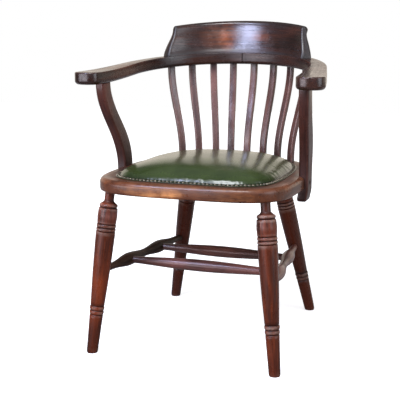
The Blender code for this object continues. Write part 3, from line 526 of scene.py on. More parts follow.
def make_rails(material):
    """Front, back and side rails, each cut from a frame whose grain runs its own way."""
    front, back = FRONT_JOINT_Y, BACK_JOINT_Y
    for word, joint, outward, offset in (("front", front, -1, 0.21), ("back", back, 1, 1.37)):
        name = f"{word}_rail"
        mesh = seat_frame_mesh(name, False, offset)
        trim(mesh, (0, joint + outward * GAP / 2, 0), (0, outward, 0))
        piece(name, mesh, material, "seat_wood", f"{word}_seat_rail")
    for side, word, offset in ((-1, "left", 2.13), (1, "right", 3.51)):
        name = f"{word}_rail"
        mesh = seat_frame_mesh(name, True, offset)
        trim(mesh, (0, front + GAP / 2, 0), (0, 1, 0))
        trim(mesh, (0, back - GAP / 2, 0), (0, -1, 0))
        side_only(mesh, side)
        piece(name, house(mesh, name, side), material, "seat_wood", f"{word}_seat_rail")


# Legs and stretchers


def leg_axis(side, end):
    """Foot on the floor and top at the seat's underside."""
    angle, margin, (out, ahead) = LEG_PLACES[end]
    top = seat_point(angle, even(margin), UNDERSIDE)
    foot = top + Vector((out, ahead, -UNDERSIDE))
    flip = Vector((side, 1, 1))
    return foot * flip, top * flip


def bead(middle, base_radius, height):
    """Half-round ring that stands out of a turning, between two quirks."""
    quirk, swell = base_radius - LEG_GROOVE_DEPTH, LEG_GROOVE_DEPTH + LEG_BEAD_OUT
    angles = evenly(0, pi, BEAD_STEPS)
    return [(middle - height / 2 * cos(a), quirk + swell * sin(a) ** 0.8) for a in angles]


def eased(table, steps):
    """Points of a smooth curve through (height, radius) pairs."""
    return [(height, through(table, height)) for height in evenly(table[0][0], table[-1][0], steps)]


def taper(start, end, steps):
    """Even points of a straight taper between two (height, radius) pairs, without its first."""
    heights, radii = [evenly(*ends, steps) for ends in zip(start, end)]
    return list(zip(heights, radii))[1:]


def leg_profile(length):
    """Turning from the foot to the seat; length is from the floor to the seat."""
    foot, ankle, neck = LEG_FOOT_D / 2, LEG_ANKLE_D / 2, LEG_NECK_D / 2
    shaft, shaft_end = LEG_SHAFT_D / 2, LEG_SHAFT_END_D / 2
    barrel, collar = LEG_BARREL_D / 2, LEG_COLLAR_D / 2
    step, low_step, groove = LEG_BEAD_HEIGHT, LOWER_BEAD_HEIGHT, LEG_GROOVE_DEPTH
    collar_low = length - LEG_NECK_LENGTH - LEG_COLLAR_HEIGHT
    collar_top = collar_low + LEG_COLLAR_HEIGHT
    barrel_top = collar_low - groove
    barrel_low = barrel_top - LEG_BARREL_LENGTH
    shaft_low, shaft_high = LOWER_RING_HEIGHT + low_step, barrel_low - 2 * step
    profile = eased([(-foot / 2, foot * 0.7), (0, foot * 0.93), (foot / 2, foot)], 8)
    profile += taper((foot / 2, foot), (LOWER_RING_HEIGHT - 1.15 * low_step, ankle), 12)
    profile += bead(LOWER_RING_HEIGHT - low_step / 2, ankle, low_step)
    profile += bead(LOWER_RING_HEIGHT + low_step / 2, shaft_end, low_step)[1:]
    for share in evenly(0, 1, 20):
        swell = LEG_SHAFT_SWELL * sin(pi * share)
        height = shaft_low + 0.15 * step + share * (shaft_high - shaft_low - 0.3 * step)
        profile.append((height, shaft_end + share * (shaft - shaft_end) + swell))
    profile += bead(shaft_high + step / 2, shaft - LEG_BEAD_OUT, step)
    profile += bead(shaft_high + 1.5 * step, shaft - LEG_BEAD_OUT, step)[1:]
    ease = 0.6 * groove
    profile.append((barrel_low + groove * 0.3, barrel - groove * 0.9))
    profile.append((barrel_low + groove * 0.7, barrel - ease))
    belly = [(barrel_low + groove, barrel - ease * 0.8)]
    belly.append(((barrel_low + barrel_top) / 2, barrel))
    belly.append((barrel_top - groove, barrel - ease * 0.8))
    profile += eased(belly, 12)
    profile += [(barrel_top - groove * 0.4, barrel - groove * 0.8), (barrel_top, collar - groove)]
    ring = [(barrel_top, collar - groove), (collar_low + LEG_COLLAR_HEIGHT * 0.18, collar)]
    ring.append((collar_low + LEG_COLLAR_HEIGHT * 0.42, collar - groove / 2))
    ring.append((collar_low + LEG_COLLAR_HEIGHT * 0.66, neck + (collar - neck) * 0.42))
    ring.append((collar_top, neck))
    profile += eased(ring, 18)[1:]
    profile += taper((collar_top, neck), (length + NECK_RUN, neck), 6)
    return profile


def radius_at(profile, height):
    for (h0, r0), (h1, r1) in zip(profile, profile[1:]):
        if h0 <= height <= h1:
            return r0 + (r1 - r0) * (height - h0) / max(h1 - h0, 1e-9)
    return profile[-1][1]


def make_legs(material):
    """Four turned legs, cut level at the floor and under the seat; the back ones are darkest, their tone
    painted shade under the seat.
    """
    offset = 4.0
    for end, tones_with_shade in (("front", (0.86, 1.0)), ("back", (0.0, 0.0))):
        for side, word, tone in ((-1, "left", tones_with_shade[0]), (1, "right", tones_with_shade[1])):
            foot, top = leg_axis(side, end)
            name = f"{end}_{word}_turned_leg"
            offset += 0.77
            length = (top - foot).length
            neck = length - LEG_NECK_LENGTH - 0.8 * LEG_COLLAR_HEIGHT
            mesh = turned(name, leg_profile(length), LEG_SIDES, foot, top, offset, tone, neck)
            trim(mesh, (0, 0, 0), (0, 0, 1))
            trim(mesh, (0, 0, UNDERSIDE - GAP / 2), (0, 0, -1))
            piece(name, mesh, material, "turned_wood", f"{end}_{word}_leg", sharp=60.0)


def side_stretcher_ends(side):
    """Where a side stretcher's axis meets the legs' axes, and how far from them it starts."""
    ends = []
    for end, z in SIDE_STRETCHER_Z.items():
        foot, top = leg_axis(side, end)
        length = (top - foot).length
        share = z / UNDERSIDE
        radius = radius_at(leg_profile(length), share * length)
        ends.append((foot.lerp(top, share), radius - STRETCHER_HOLD))
    return ends


def make_stretchers(material, left_material):
    """Side stretchers that swell into bobbins where the two cross stretchers enter."""
    thin, plain, fat = SIDE_STRETCHER_END_D / 2, SIDE_STRETCHER_D / 2, BOBBIN_D / 2
    # The left side stretcher takes a darker, duller copy of the wood as painted shade.
    for side, word, offset, finish in ((-1, "left", 8.3, left_material), (1, "right", 9.1, material)):
        (front, front_in), (back, back_in) = side_stretcher_ends(side)
        length = (back - front).length
        first, second = [share * length for share in CROSS_SHARES.values()]
        shape = [(0, thin), (first / 2, (thin + plain) / 2), (first, fat), ((first + second) / 2, plain)]
        shape += [(second, fat), ((second + length) / 2, (thin + plain) / 2), (length, thin)]
        places = evenly(front_in, length - back_in, SIDE_STRETCHER_STEPS)
        profile = [(place, through(shape, place)) for place in places]
        name = f"{word}_turned_stretcher"
        mesh = turned(name, profile, STRETCHER_SIDES, front, back, offset)
        piece(name, mesh, finish, "turned_wood", f"{word}_side_stretcher")
    thin, fat = CROSS_STRETCHER_END_D / 2, CROSS_STRETCHER_D / 2
    for word, offset in (("front", 10.2), ("back", 11.6)):
        share = CROSS_SHARES[word]
        left, right = [ends[0][0].lerp(ends[1][0], share) for ends in map(side_stretcher_ends, (-1, 1))]
        length = (right - left).length
        inside = BOBBIN_D / 2 - STRETCHER_HOLD
        places = evenly(inside, length - inside, CROSS_STRETCHER_STEPS)
        swells = [sin(pi * place / length) ** 1.5 for place in places]
        profile = [(place, thin + (fat - thin) * swell) for place, swell in zip(places, swells)]
        name = f"{word}_turned_cross"
        mesh = turned(name, profile, STRETCHER_SIDES, left, right, offset)
        piece(name, mesh, material, "turned_wood", f"{word}_cross_stretcher")


# Arm rail and crest


def arm_station(place):
    """Centre and outward direction, in plan, at a distance along the right arm from the back."""
    angle = min(place / BOW_RADIUS, ARC_ANGLE)
    outward = Vector((sin(angle), cos(angle)))
    centre = Vector((0, BOW_CENTRE_Y)) + BOW_RADIUS * outward
    return centre + max(place - ARC_LENGTH, 0.0) * ARM_AHEAD, outward


def arm_width(place):
    """Width of the arm: it narrows to a waist and opens to the paddle."""
    opened = ARM_WAIST_WIDTH + 0.8 * (ARM_PADDLE_WIDTH - ARM_WAIST_WIDTH)
    table = ((0.0, ARM_BACK_WIDTH), (0.5, ARM_WAIST_WIDTH), (0.84, opened), (1.0, ARM_PADDLE_WIDTH))
    return through(table, place / ARM_LENGTH)


def arm_top(place):
    """Height of the arm's top: it falls in one easy curve from the back to the paddle."""
    share = min(max(place / ARM_LENGTH, 0.0), 1.0)
    return ARM_FRONT_TOP + ARM_RISE * (1 + cos(pi * share ** ARM_FALL)) / 2


def arm_ring(place, side, turn=0.0):
    """Section of an arm, rounded where no crest stands, turned round the paddle's end."""
    power = 2 / ARM_END_SQUARENESS
    ahead, across = sin(turn) ** power, cos(turn) ** power
    pinch = JOINT_GROOVE_DEPTH * max(1 - place / JOINT_GROOVE, 0.0)
    half = arm_width(place) / 2 - pinch
    past_crest = (place / BOW_RADIUS - CREST_BASE_ANGLE) / (ARC_ANGLE - CREST_BASE_ANGLE)
    bare = smooth_step(past_crest / ARM_EDGE_FADE)
    inner_top = ARM_SQUARE_EDGE + (ARM_EDGE_ROUND - ARM_SQUARE_EDGE) * bare
    radii = (ARM_EDGE_ROUND, inner_top, ARM_UNDER_ROUND, ARM_UNDER_ROUND)
    joint_dirt = max(1 - place / JOINT_DIRT, 0.0)
    ring = []
    for u, v, wear_and_painted_light in rounded_rectangle(half, ARM_THICK / 2 - pinch, radii):
        inset = half - abs(u)
        along = place + (ARM_END_DEPTH - inset) * ahead
        centre, outward = arm_station(along)
        off = copysign((arm_width(along) / 2 - pinch - inset) * across, u)
        spot = centre + off * outward
        point = Vector((side * spot.x, spot.y, arm_top(along) - ARM_THICK / 2 + v))
        worn_and_painted_light = wear_and_painted_light if v > 0 else 0.3 * wear_and_painted_light
        # The inner face under the crest is darkened and roughened: painted shade.
        if u < -0.8 * half:
            worn_and_painted_light -= 0.3 * (1 - bare)
        ring.append((point, (along, off, v), -joint_dirt or worn_and_painted_light))
    return ring


def make_arms(material):
    """Two arms: the arc of the bow, a straight run, and the paddle's end turned about its edge."""
    run_end = ARM_LENGTH - ARM_END_DEPTH
    places = [-JOINT_LAP, JOINT_GROOVE, *evenly(JOINT_PLAIN_FROM, ARC_LENGTH, ARC_STEPS)]
    places += evenly(ARC_LENGTH, run_end, ARM_RUN_STEPS)[1:]
    turns = evenly(0, ARM_LAST_TURN, ARM_END_STEPS)[1:]
    for side, word, offset in ((-1, "left", 12.4), (1, "right", 13.9)):
        rings = [arm_ring(place, side) for place in places]
        rings += [arm_ring(run_end, side, turn) for turn in turns]
        name = f"{word}_bow_arm"
        piece(name, loft(name, rings, offset), material, "arm_wood", f"{word}_arm", sharp=50.0)


def crest_half_angle(share):
    """Ogee of the crest's ends: nearly upright above, flaring to the arm rail below."""
    flare = CREST_BASE_ANGLE - CREST_TOP_ANGLE
    ogee = ((0.0, 1.0), (0.25, 0.80), (0.62, 0.30), (0.82, 0.08), (1.0, 0.0))
    return CREST_TOP_ANGLE + flare * through(ogee, share)


def crest_ring(across, ease=0.0):
    """Section of the crest at a share of its half length: coved front, top rolled over backwards."""
    place = abs(across) * CREST_BASE_ANGLE * BOW_RADIUS
    base_front = BOW_RADIUS - arm_width(place) / 2 + CREST_FRONT_SETBACK
    base_back = BOW_RADIUS + CREST_BASE_BACK
    top_back = BOW_RADIUS + CREST_TOP_BACK
    top_front = top_back - CREST_TOP_THICK
    cove = ((0.0, 0.0), (0.14, 0.18), (0.5, 0.54), (1.0, 1.0))
    roll = ((0.0, 0.0), (0.45, 0.02), (0.74, 0.14), (0.9, 1.0), (1.0, 1.0))
    rest = arm_top(place) + GAP
    height = CREST_TOP - CREST_END_DROP * across ** 2 - rest
    shoulder = 1 - CREST_TOP_ROUND / height

    def front(share):
        return base_front + (top_front - base_front) * through(cove, share)

    def back(share):
        return base_back + (top_back - base_back) * through(roll, share)

    shares = evenly(0, shoulder, CREST_RISE_STEPS)
    # Darker towards the foot of the cove, which also dulls its reflection: painted shade.
    outline = [(front(share), share, -0.7 * max(1 - share / 0.2, 0.0)) for share in shares]
    middle, half = (front(shoulder) + back(shoulder)) / 2, (back(shoulder) - front(shoulder)) / 2
    for angle in evenly(0, pi, CREST_ROUND_STEPS)[1:-1]:
        radius = middle - half * cos(angle)
        # The top roll is darkened to tone down its highlight: painted shade.
        outline.append((radius, shoulder + (1 - shoulder) * sin(angle), -0.6 * sin(angle)))
    outline += [(back(share), share, 0.0) for share in reversed(shares)]
    centre = sum(radius for radius, _, _ in outline) / len(outline)
    # The eased ends are darkened and roughened to dim their highlight line: painted shade.
    shaded = -0.7 if ease > 0 else 0.0
    ring = []
    for radius, share, wear_and_painted_light in outline:
        radius += ease * (centre - radius) / half
        share += ease * (0.5 - share) / height if share > 0 else 0.0
        angle = across * crest_half_angle(share)
        x, y = radius * sin(angle), BOW_CENTRE_Y + radius * cos(angle)
        z = rest + share * height
        ring.append((Vector((x, y, z)), (angle * BOW_RADIUS, z, radius), wear_and_painted_light + shaded))
    return ring


def make_crest(material):
    inner = 1 - CREST_EASE / (BOW_RADIUS * CREST_TOP_ANGLE)
    eases = []
    for angle in evenly(0, pi / 2, CREST_EASE_STEPS)[1:]:
        eases.append((inner + (1 - inner) * sin(angle), CREST_EASE * (1 - cos(angle))))
    rings = [crest_ring(-across, ease) for across, ease in reversed(eases)]
    rings += [crest_ring(across) for across in evenly(-inner, inner, CREST_STEPS)]
    rings += [crest_ring(across, ease) for across, ease in eases]
    piece("crest", loft("crest", rings, 15.2), material, "arm_wood", "crest_rail", sharp=50.0)


# Slats and supports


def make_slats(material):
    outline = rounded_rectangle(SLAT_WIDTH / 2, SLAT_THICK / 2, (SLAT_ROUND,) * 4)
    radius = BOW_RADIUS + SLAT_TOP_SETBACK
    for number in range(SLAT_COUNT):
        turn = number - (SLAT_COUNT - 1) / 2
        base_angle, top_angle = turn * SLAT_BASE_STEP, turn * SLAT_TOP_STEP
        base = seat_point(base_angle, even(SLAT_BASE_INSET), SEAT_TOP).xy
        top = Vector((radius * sin(top_angle), BOW_CENTRE_Y + radius * cos(top_angle)))
        rise = arm_top(abs(top_angle) * BOW_RADIUS) - ARM_THICK - SEAT_TOP
        rings = []
        for height in evenly(GAP, rise + SLAT_SEATING, SLAT_STEPS):
            bend = min(max((height / rise - SLAT_BEND_START) / (1 - SLAT_BEND_START), 0.0), 1.0)
            sway = smooth_step(bend)
            slope = 6 * bend * (1 - bend) / (1 - SLAT_BEND_START) / rise
            upward = Vector((*(top - base) * slope, 1)).normalized()
            angle = base_angle + (top_angle - base_angle) * sway
            wide = Vector((cos(angle), -sin(angle), 0))
            centre = Vector((*base.lerp(top, sway), SEAT_TOP + height)) + SLAT_SHIFTS[number] * wide
            wide = (wide - wide.dot(upward) * upward).normalized()
            deep = upward.cross(wide)
            # Painted shade: darker near both ends, and more at the foot by the leather.
            darkening = -0.8 * max(1 - min(height, rise - height) / SLAT_END_SHADE, 0.0)
            darkening -= 0.35 * max(1 - height / SLAT_FOOT_SHADE, 0.0)
            rings.append([(centre + u * wide + v * deep, (height, u, v), w + darkening) for u, v, w in outline])
        name = f"back_slat_{number + 1}"
        mesh = loft(name, rings, 16.3 + 0.91 * number, tone=SLAT_TONES[number])
        piece(name, mesh, material, "slat_wood", f"slat_{number + 1}")


def support_foot_x():
    return seat_edge_x(SUPPORT_FOOT_Y, even(0)) - SUPPORT_HOUSING + SUPPORT_THICK / 2


def arm_under(x, y):
    place = ARC_LENGTH + (Vector((abs(x), y)) - ARC_END).dot(ARM_AHEAD)
    return arm_top(place) - ARM_THICK


def support_ring(x, y, z, half_thick, half_width, corner, side):
    """Section of a support, or of its housing, darker towards the seat."""
    outline = rounded_rectangle(half_thick, half_width, (corner,) * 4)
    darkening = 0.55 * smooth_step((SEAT_TOP + SUPPORT_DARK_REACH - z) / SUPPORT_DARK_REACH)
    return [(Vector((side * (x + u), y + v, z)), (z, u, v), 0.7 * w - darkening) for u, v, w in outline]


def make_supports(material):
    """Arm supports: a tail turned in under the seat, then an S-curve that bulges back."""
    ahead = (ARC_END.y - SUPPORT_TOP_Y) / -ARM_AHEAD.y
    low = Vector((support_foot_x(), SUPPORT_FOOT_Y))
    high = Vector((ARC_END.x + ahead * ARM_AHEAD.x - SUPPORT_INSET, SUPPORT_TOP_Y))
    half_thick, half_foot, half_top = SUPPORT_THICK / 2, SUPPORT_FOOT_WIDTH / 2, SUPPORT_WIDTH / 2
    bottom = UNDERSIDE - SUPPORT_DROP
    rise = arm_under(*high) - GAP - SEAT_TOP
    tail = []
    for draw, lift in quarter_round(END_STEPS):
        tail.append((bottom + lift * SUPPORT_END_ROUND, draw * SUPPORT_END_ROUND))
    tail += [(z, 0.0) for z in evenly(bottom + SUPPORT_END_ROUND, UNDERSIDE, END_STEPS)[1:]]
    for side, word, offset in ((-1, "left", 24.1), (1, "right", 25.7)):
        rings = []
        for z, edge in tail:
            x = low.x - SUPPORT_TAIL_TURN * smooth_step((UNDERSIDE - z) / SUPPORT_DROP)
            corner = max(SUPPORT_ROUND - edge / 2, SUPPORT_ROUND / 4)
            rings.append(support_ring(x, low.y, z, half_thick - edge / 2, half_foot - edge, corner, side))
        for t in evenly(0, 1, SUPPORT_STEPS):
            lean = 6 * t * (1 - t) * (high.y - low.y) / rise
            x, y = low.lerp(high, smooth_step(t))
            y += SUPPORT_BULGE * sin(pi * t) ** 2 * (1 + cos(pi * t))
            broad = (half_foot + (half_top - half_foot) * smooth_step(t)) * hypot(1, lean)
            rings.append(support_ring(x, y, SEAT_TOP + t * rise, half_thick, broad, SUPPORT_ROUND, side))
        for point, _, _ in rings[-1]:
            point.z = arm_under(point.x, point.y) - GAP
        name = f"{word}_curved_support"
        piece(name, loft(name, rings, offset), material, "arm_wood", f"{word}_arm_support")


# Materials


class Nodes:
    """Node tree of a material or of the world, with short calls for the nodes that it needs."""

    def __init__(self, owner, shader="Principled BSDF"):
        owner.use_nodes = True
        self.owner = owner
        self.tree = owner.node_tree
        self.shader = self.tree.nodes[shader]

    def feed(self, socket, value):
        if isinstance(value, bpy.types.NodeSocket):
            self.tree.links.new(value, socket)
        else:
            socket.default_value = (*value, 1.0) if socket.type == "RGBA" else value

    def set(self, **values):
        for word, value in values.items():
            self.feed(self.shader.inputs[word.replace("_", " ")], value)

    def new(self, kind, inputs=(), output=0, **settings):
        """Output of a new node, whose inputs are given by number or by name."""
        node = self.tree.nodes.new("ShaderNode" + kind)
        for word, value in settings.items():
            setattr(node, word, value)
        for key, value in dict(inputs).items():
            self.feed(node.inputs[key], value)
        return node.outputs[output]

    def place(self, kind="Object"):
        return self.new("TexCoord", output=kind)

    def axis(self, vector, name):
        return self.new("SeparateXYZ", {0: vector}, name)

    def camera_ray(self):
        return self.new("LightPath", output="Is Camera Ray")

    def attribute(self, name, output="Fac"):
        return self.new("Attribute", output=output, attribute_name=name)

    def vector(self, operation, a, b, output="Vector"):
        return self.new("VectorMath", {0: a, 1: b}, output, operation=operation)

    def math(self, operation, a, b=0.0, clamp=False):
        return self.new("Math", {0: a, 1: b}, operation=operation, use_clamp=clamp)

    def times(self, a, b, clamp=False):
        return self.math("MULTIPLY", a, b, clamp)

    def total(self, *parts):
        result, *others = [self.times(value, weight) for value, weight in parts]
        for other in others:
            result = self.math("ADD", result, other)
        return result

    def noise(self, where, scale, detail=3.0, roughness=0.55, distortion=0.0):
        inputs = {"Vector": where, "Scale": scale, "Detail": detail, "Roughness": roughness}
        return self.new("TexNoise", {**inputs, "Distortion": distortion}, "Fac")

    def cells(self, where, scale):
        return self.new("TexVoronoi", {"Vector": where, "Scale": scale}, "Distance", feature="SMOOTH_F1")

    def span(self, value, low, high, to_low=0.0, to_high=1.0, easing="LINEAR"):
        """Value stretched from one range to another and held there."""
        inputs = enumerate((value, low, high, to_low, to_high))
        return self.new("MapRange", inputs, interpolation_type=easing)

    def mix(self, share, a, b):
        return self.new("Mix", {0: share, 6: a, 7: b}, 2, data_type="RGBA")

    def bump(self, height, strength, distance):
        inputs = {"Height": height, "Strength": strength, "Distance": distance}
        self.set(Normal=self.new("Bump", inputs, "Normal"))


def material_nodes(name):
    return Nodes(bpy.data.materials.new(name))


def wood(name, dark, base, light, warm, roughness, gloss, worn_and_painted_light=None, patches=(), crown_highlight_colour=None):
    """Old stained wood: fibre, figure and pores along the grain, worn edges, and darkening where the mark is
    below zero: a dark joint, darker quirks, painted shade elsewhere.
    """
    n = material_nodes(name)
    grain = n.attribute("grain", "Vector")
    wear_and_painted_light, tone = n.attribute("wear_and_painted_light"), n.attribute("tone")
    place = n.place()

    def along(lengthwise, crosswise, *settings):
        return n.noise(n.vector("MULTIPLY", grain, (lengthwise, crosswise, crosswise)), 1.0, *settings)

    figure = along(3.2, 40.0, 3.0, 0.55, 0.7)
    fibre = along(11.0, 430.0, 4.0, 0.62)
    streak = along(6.0, 150.0, 3.0, 0.6, 0.4)
    pores = n.span(along(60.0, 1500.0, 2.0, 0.5), 0.60, 0.74, 0.0, 0.6)
    mottle = n.noise(place, 30.0, 4.0, 0.62)
    zone = n.noise(n.vector("ADD", place, n.vector("MULTIPLY", grain, (0.0, 0.3, 0.3))), 7.5, 2.0, 0.5)
    colour = n.mix(n.span(figure, 0.33, 0.68), dark, base)
    for tint, field, *limits in (
        (light, fibre, 0.48, 0.82, 0.0, 0.55),
        (dark, fibre, 0.20, 0.46, 0.6, 0.0),
        (dark, streak, 0.30, 0.48, 0.7, 0.0),
        (light, streak, 0.54, 0.74, 0.0, 0.5),
        (warm, zone, 0.48, 0.68, 0.0, 0.65),
        (dark, zone, 0.30, 0.46, 0.65, 0.0),
        (dark, tone, 0.0, 1.0, 0.7, 0.0),
    ):
        colour = n.mix(n.span(field, *limits), colour, tint)
    # Worn edges lightened toward the light tone; on the legs the crown colour is a painted highlight on the
    # bead crowns.
    edge = n.times(n.math("MAXIMUM", wear_and_painted_light, 0.0), n.span(mottle, 0.36, 0.66))
    colour = n.mix(n.times(edge, 0.6, True), colour, crown_highlight_colour or light)
    patch_breakup = n.span(n.total((streak, 0.35), (figure, 0.25), (mottle, 0.4)), 0.40, 0.60)
    # Worn patches; on the front legs' barrels they are partly a painted pool of light.
    for centre, radii, strength in patches:
        away = n.vector("DIVIDE", n.vector("SUBTRACT", place, centre), radii)
        far = n.vector("LENGTH", away, (0, 0, 0), "Value")
        bare = n.times(n.span(far, 0.1, 1.0, strength, 0.0), patch_breakup)
        colour = n.mix(n.times(bare, 0.9, True), colour, worn_and_painted_light)
    # Near-black darkening: a dark joint at the arms, painted shade in several other places.
    darkening = n.times(n.math("MINIMUM", wear_and_painted_light, 0.0), -0.8, True)
    colour = n.mix(darkening, colour, DARKENING_COLOUR)
    colour = n.mix(pores, colour, PORE_COLOUR)
    rough = n.span(mottle, 0.25, 0.75, roughness - 0.07, roughness + 0.09)
    rough = n.math("ADD", rough, n.span(streak, 0.25, 0.75, 0.06, -0.06))
    rough = n.math("ADD", rough, n.times(darkening, 0.3))
    n.set(Base_Color=colour, Roughness=rough, Specular_IOR_Level=gloss)
    n.bump(n.total((fibre, 0.4), (pores, -0.5), (streak, 1.1), (mottle, 0.4)), 0.10, 0.0012)
    return n.owner


def leather(name):
    """Deep green hide with a fine pebbled grain, faint creases and a waxed shine, darkened along its nailed
    rim as painted shade.
    """
    n = material_nodes(name)
    place = n.place()
    cloud = n.noise(place, 14.0, 4.0, 0.6)
    fleck = n.noise(place, 260.0, 3.0, 0.6)
    colour = n.mix(n.span(cloud, 0.3, 0.7), (0.019, 0.030, 0.008), (0.038, 0.056, 0.014))
    colour = n.mix(n.span(fleck, 0.35, 0.7, 0.0, 0.35), colour, (0.015, 0.024, 0.008))
    # Painted shade along the nailed rim.
    rim = n.attribute("wear_and_painted_light")
    colour = n.mix(n.times(rim, 0.92, True), colour, (0.006, 0.008, 0.005))
    pebble = n.cells(place, 620.0)
    crease = n.noise(n.vector("MULTIPLY", place, (1.0, 1.0, 0.5)), 75.0, 5.0, 0.65, 0.8)
    rough = n.span(cloud, 0.25, 0.75, 0.15, 0.23)
    n.set(Base_Color=colour, Roughness=rough, Specular_IOR_Level=0.5)
    n.bump(n.total((pebble, 0.45), (crease, 0.8)), 0.16, 0.0009)
    return n.owner


def brass(name):
    """Old brass, bright on the crowns of the nails and near-black at their foot by the leather, which is
    painted shade.
    """
    n = material_nodes(name)
    place = n.place()
    spots = n.noise(place, 420.0, 3.0, 0.6)
    colour = n.mix(n.span(spots, 0.35, 0.7), (0.10, 0.078, 0.055), (0.31, 0.265, 0.20))
    # Painted shade at the foot of each nail.
    rim_shade = n.times(n.math("MINIMUM", n.attribute("wear_and_painted_light"), 0.0), -1.0, True)
    colour = n.mix(rim_shade, colour, (0.012, 0.010, 0.008))
    n.set(Base_Color=colour, Metallic=1.0, Roughness=n.span(spots, 0.3, 0.7, 0.28, 0.45))
    n.bump(spots, 0.1, 0.0004)
    return n.owner


def cloth(name, dark, light, threads):
    """Plain weave seen as crossing threads, with slubs."""
    n = material_nodes(name)
    place = n.place()
    slub = n.noise(place, 90.0, 4.0, 0.6)
    waves = [n.math("SINE", n.times(n.axis(place, axis), threads)) for axis in "XY"]
    weave = n.span(n.times(*waves), -1.0, 1.0)
    shade = n.times(weave, n.span(slub, 0.3, 0.7, 0.5, 1.0))
    n.set(Base_Color=n.mix(shade, dark, light), Roughness=n.span(slub, 0.3, 0.7, 0.85, 0.95))
    n.bump(weave, 0.4, 0.0008)
    return n.owner


def plain_wood(name, dark, light):
    """Plain wood of the hidden dowels and the pellets, with end-grain flecks."""
    n = material_nodes(name)
    place = n.place()
    fleck = n.noise(place, 700.0, 3.0, 0.6)
    ring = n.noise(place, 60.0, 3.0, 0.55)
    colour = n.mix(n.span(ring, 0.3, 0.7), dark, light)
    colour = n.mix(n.span(fleck, 0.55, 0.75, 0.0, 0.6), colour, dark)
    n.set(Base_Color=colour, Roughness=n.span(fleck, 0.3, 0.7, 0.40, 0.55))
    n.bump(fleck, 0.08, 0.0006)
    return n.owner


# Upholstery


def disc_grid(count):
    """Even grid on a disc: (share, angle) of each point, row by row, its quads and its border in order."""
    spots = []
    for j in range(count + 1):
        for i in range(count + 1):
            a, b = 2 * i / count - 1, 2 * j / count - 1
            share = max(abs(a), abs(b))
            if share == 0:
                spots.append((0.0, 0.0))
            elif abs(a) >= abs(b):
                spots.append((share, copysign(pi / 2, a) - pi / 4 * b / a))
            else:
                turn = pi / 4 * a / b
                spots.append((share, turn if b > 0 else pi + turn))
    row = count + 1
    quads = []
    for j in range(count):
        for i in range(count):
            k = j * row + i
            quads.append((k, k + 1, k + 1 + row, k + row))
    border = [*range(row), *range(row + count, row * row, row)]
    border += [*range(row * row - 2, count * row - 1, -1), *range((count - 1) * row, 0, -row)]
    return spots, quads, border


def cushion_mesh(rise):
    """Closed leather form: flat below, a thin flange round it and a crown above."""
    spots, quads, border = disc_grid(PAD_GRID)
    outside = spread(PAD_EDGE, GAP + LEATHER_THICK)
    flange = spread(PAD_EDGE, GAP + LEATHER_THICK + LEATHER_FLANGE)
    inside = spread(PAD_EDGE, GAP)
    middle = Vector((0, SEAT_MID_Y))
    points, held = [], []

    def sheet(margins, heights, hold):
        start = len(points)
        for share, angle in spots:
            edge = seat_point(angle, margins, 0).xy
            points.append(Vector((*middle.lerp(edge, share), heights(share))))
            held.append(hold(share))
        return start

    def loop(margins, z):
        start = len(points)
        for k in border:
            points.append(Vector((*seat_point(spots[k][1], margins, 0).xy, z)))
            held.append(1.0)
        return list(range(start, len(points)))

    def crowned(share):
        return PAD_LOW + rise * (1 - share ** PAD_FULLNESS) ** PAD_EDGE_ROLL

    def rim_hold(share):
        return smooth_step((share - HOLD_START) / HOLD_FADE)

    foot, lip = SEAT_TOP + GAP, LEATHER_LIP
    edges = [(spread(outside, LIP_TURN), lip + LIP_LIFT), (spread(outside, LIP_FLAT), lip)]
    edges += [(spread(flange, -FLANGE_EASE), lip), (flange, lip - FLANGE_DROP)]
    edges += [(flange, foot), (inside, foot)]
    top = sheet(outside, crowned, rim_hold)
    rims = [[top + k for k in border]]
    rims += [loop(margins, z) for margins, z in edges]
    low = sheet(inside, lambda share: PAD_LOW, lambda share: 1.0)
    rims.append([low + k for k in border])
    faces = [tuple(top + k for k in quad) for quad in quads]
    faces += [tuple(reversed([low + k for k in quad])) for quad in quads]
    for outer, inner in zip(rims, rims[1:]):
        for k, m in zip(range(len(border)), [*range(1, len(border)), 0]):
            faces.append((outer[k], inner[k], inner[m], outer[m]))
    return mesh_of("seat_cushion", points, faces, points, [0.0] * len(points)), held


def inflate(made, held, reach):
    """Blow the form up as cloth with its rim held, and keep each point within reach of its start."""
    pins = made.vertex_groups.new(name="held")
    for index, weight in enumerate(held):
        if weight > 0:
            pins.add([index], weight, "REPLACE")
    start = [vert.co.copy() for vert in made.data.vertices]
    modifier = made.modifiers.new("inflate", "CLOTH")
    for word, value in CLOTH_SETTINGS.items():
        setattr(modifier.settings, word, value)
    modifier.settings.effector_weights.gravity = 0.0
    modifier.settings.vertex_group_mass = pins.name
    modifier.collision_settings.use_collision = False
    scene = bpy.context.scene
    for number in range(1, CLOTH_FRAMES + 1):
        scene.frame_set(number)
    moved = made.evaluated_get(bpy.context.evaluated_depsgraph_get()).to_mesh()
    ends = [vert.co.copy() for vert in moved.vertices]
    made.modifiers.remove(modifier)
    made.vertex_groups.remove(pins)
    scene.frame_set(1)
    for vert, old, new, weight in zip(made.data.vertices, start, ends, held):
        step = (new - old) * (1 - weight)
        if step.length > reach:
            step *= reach / step.length
        vert.co = old + step


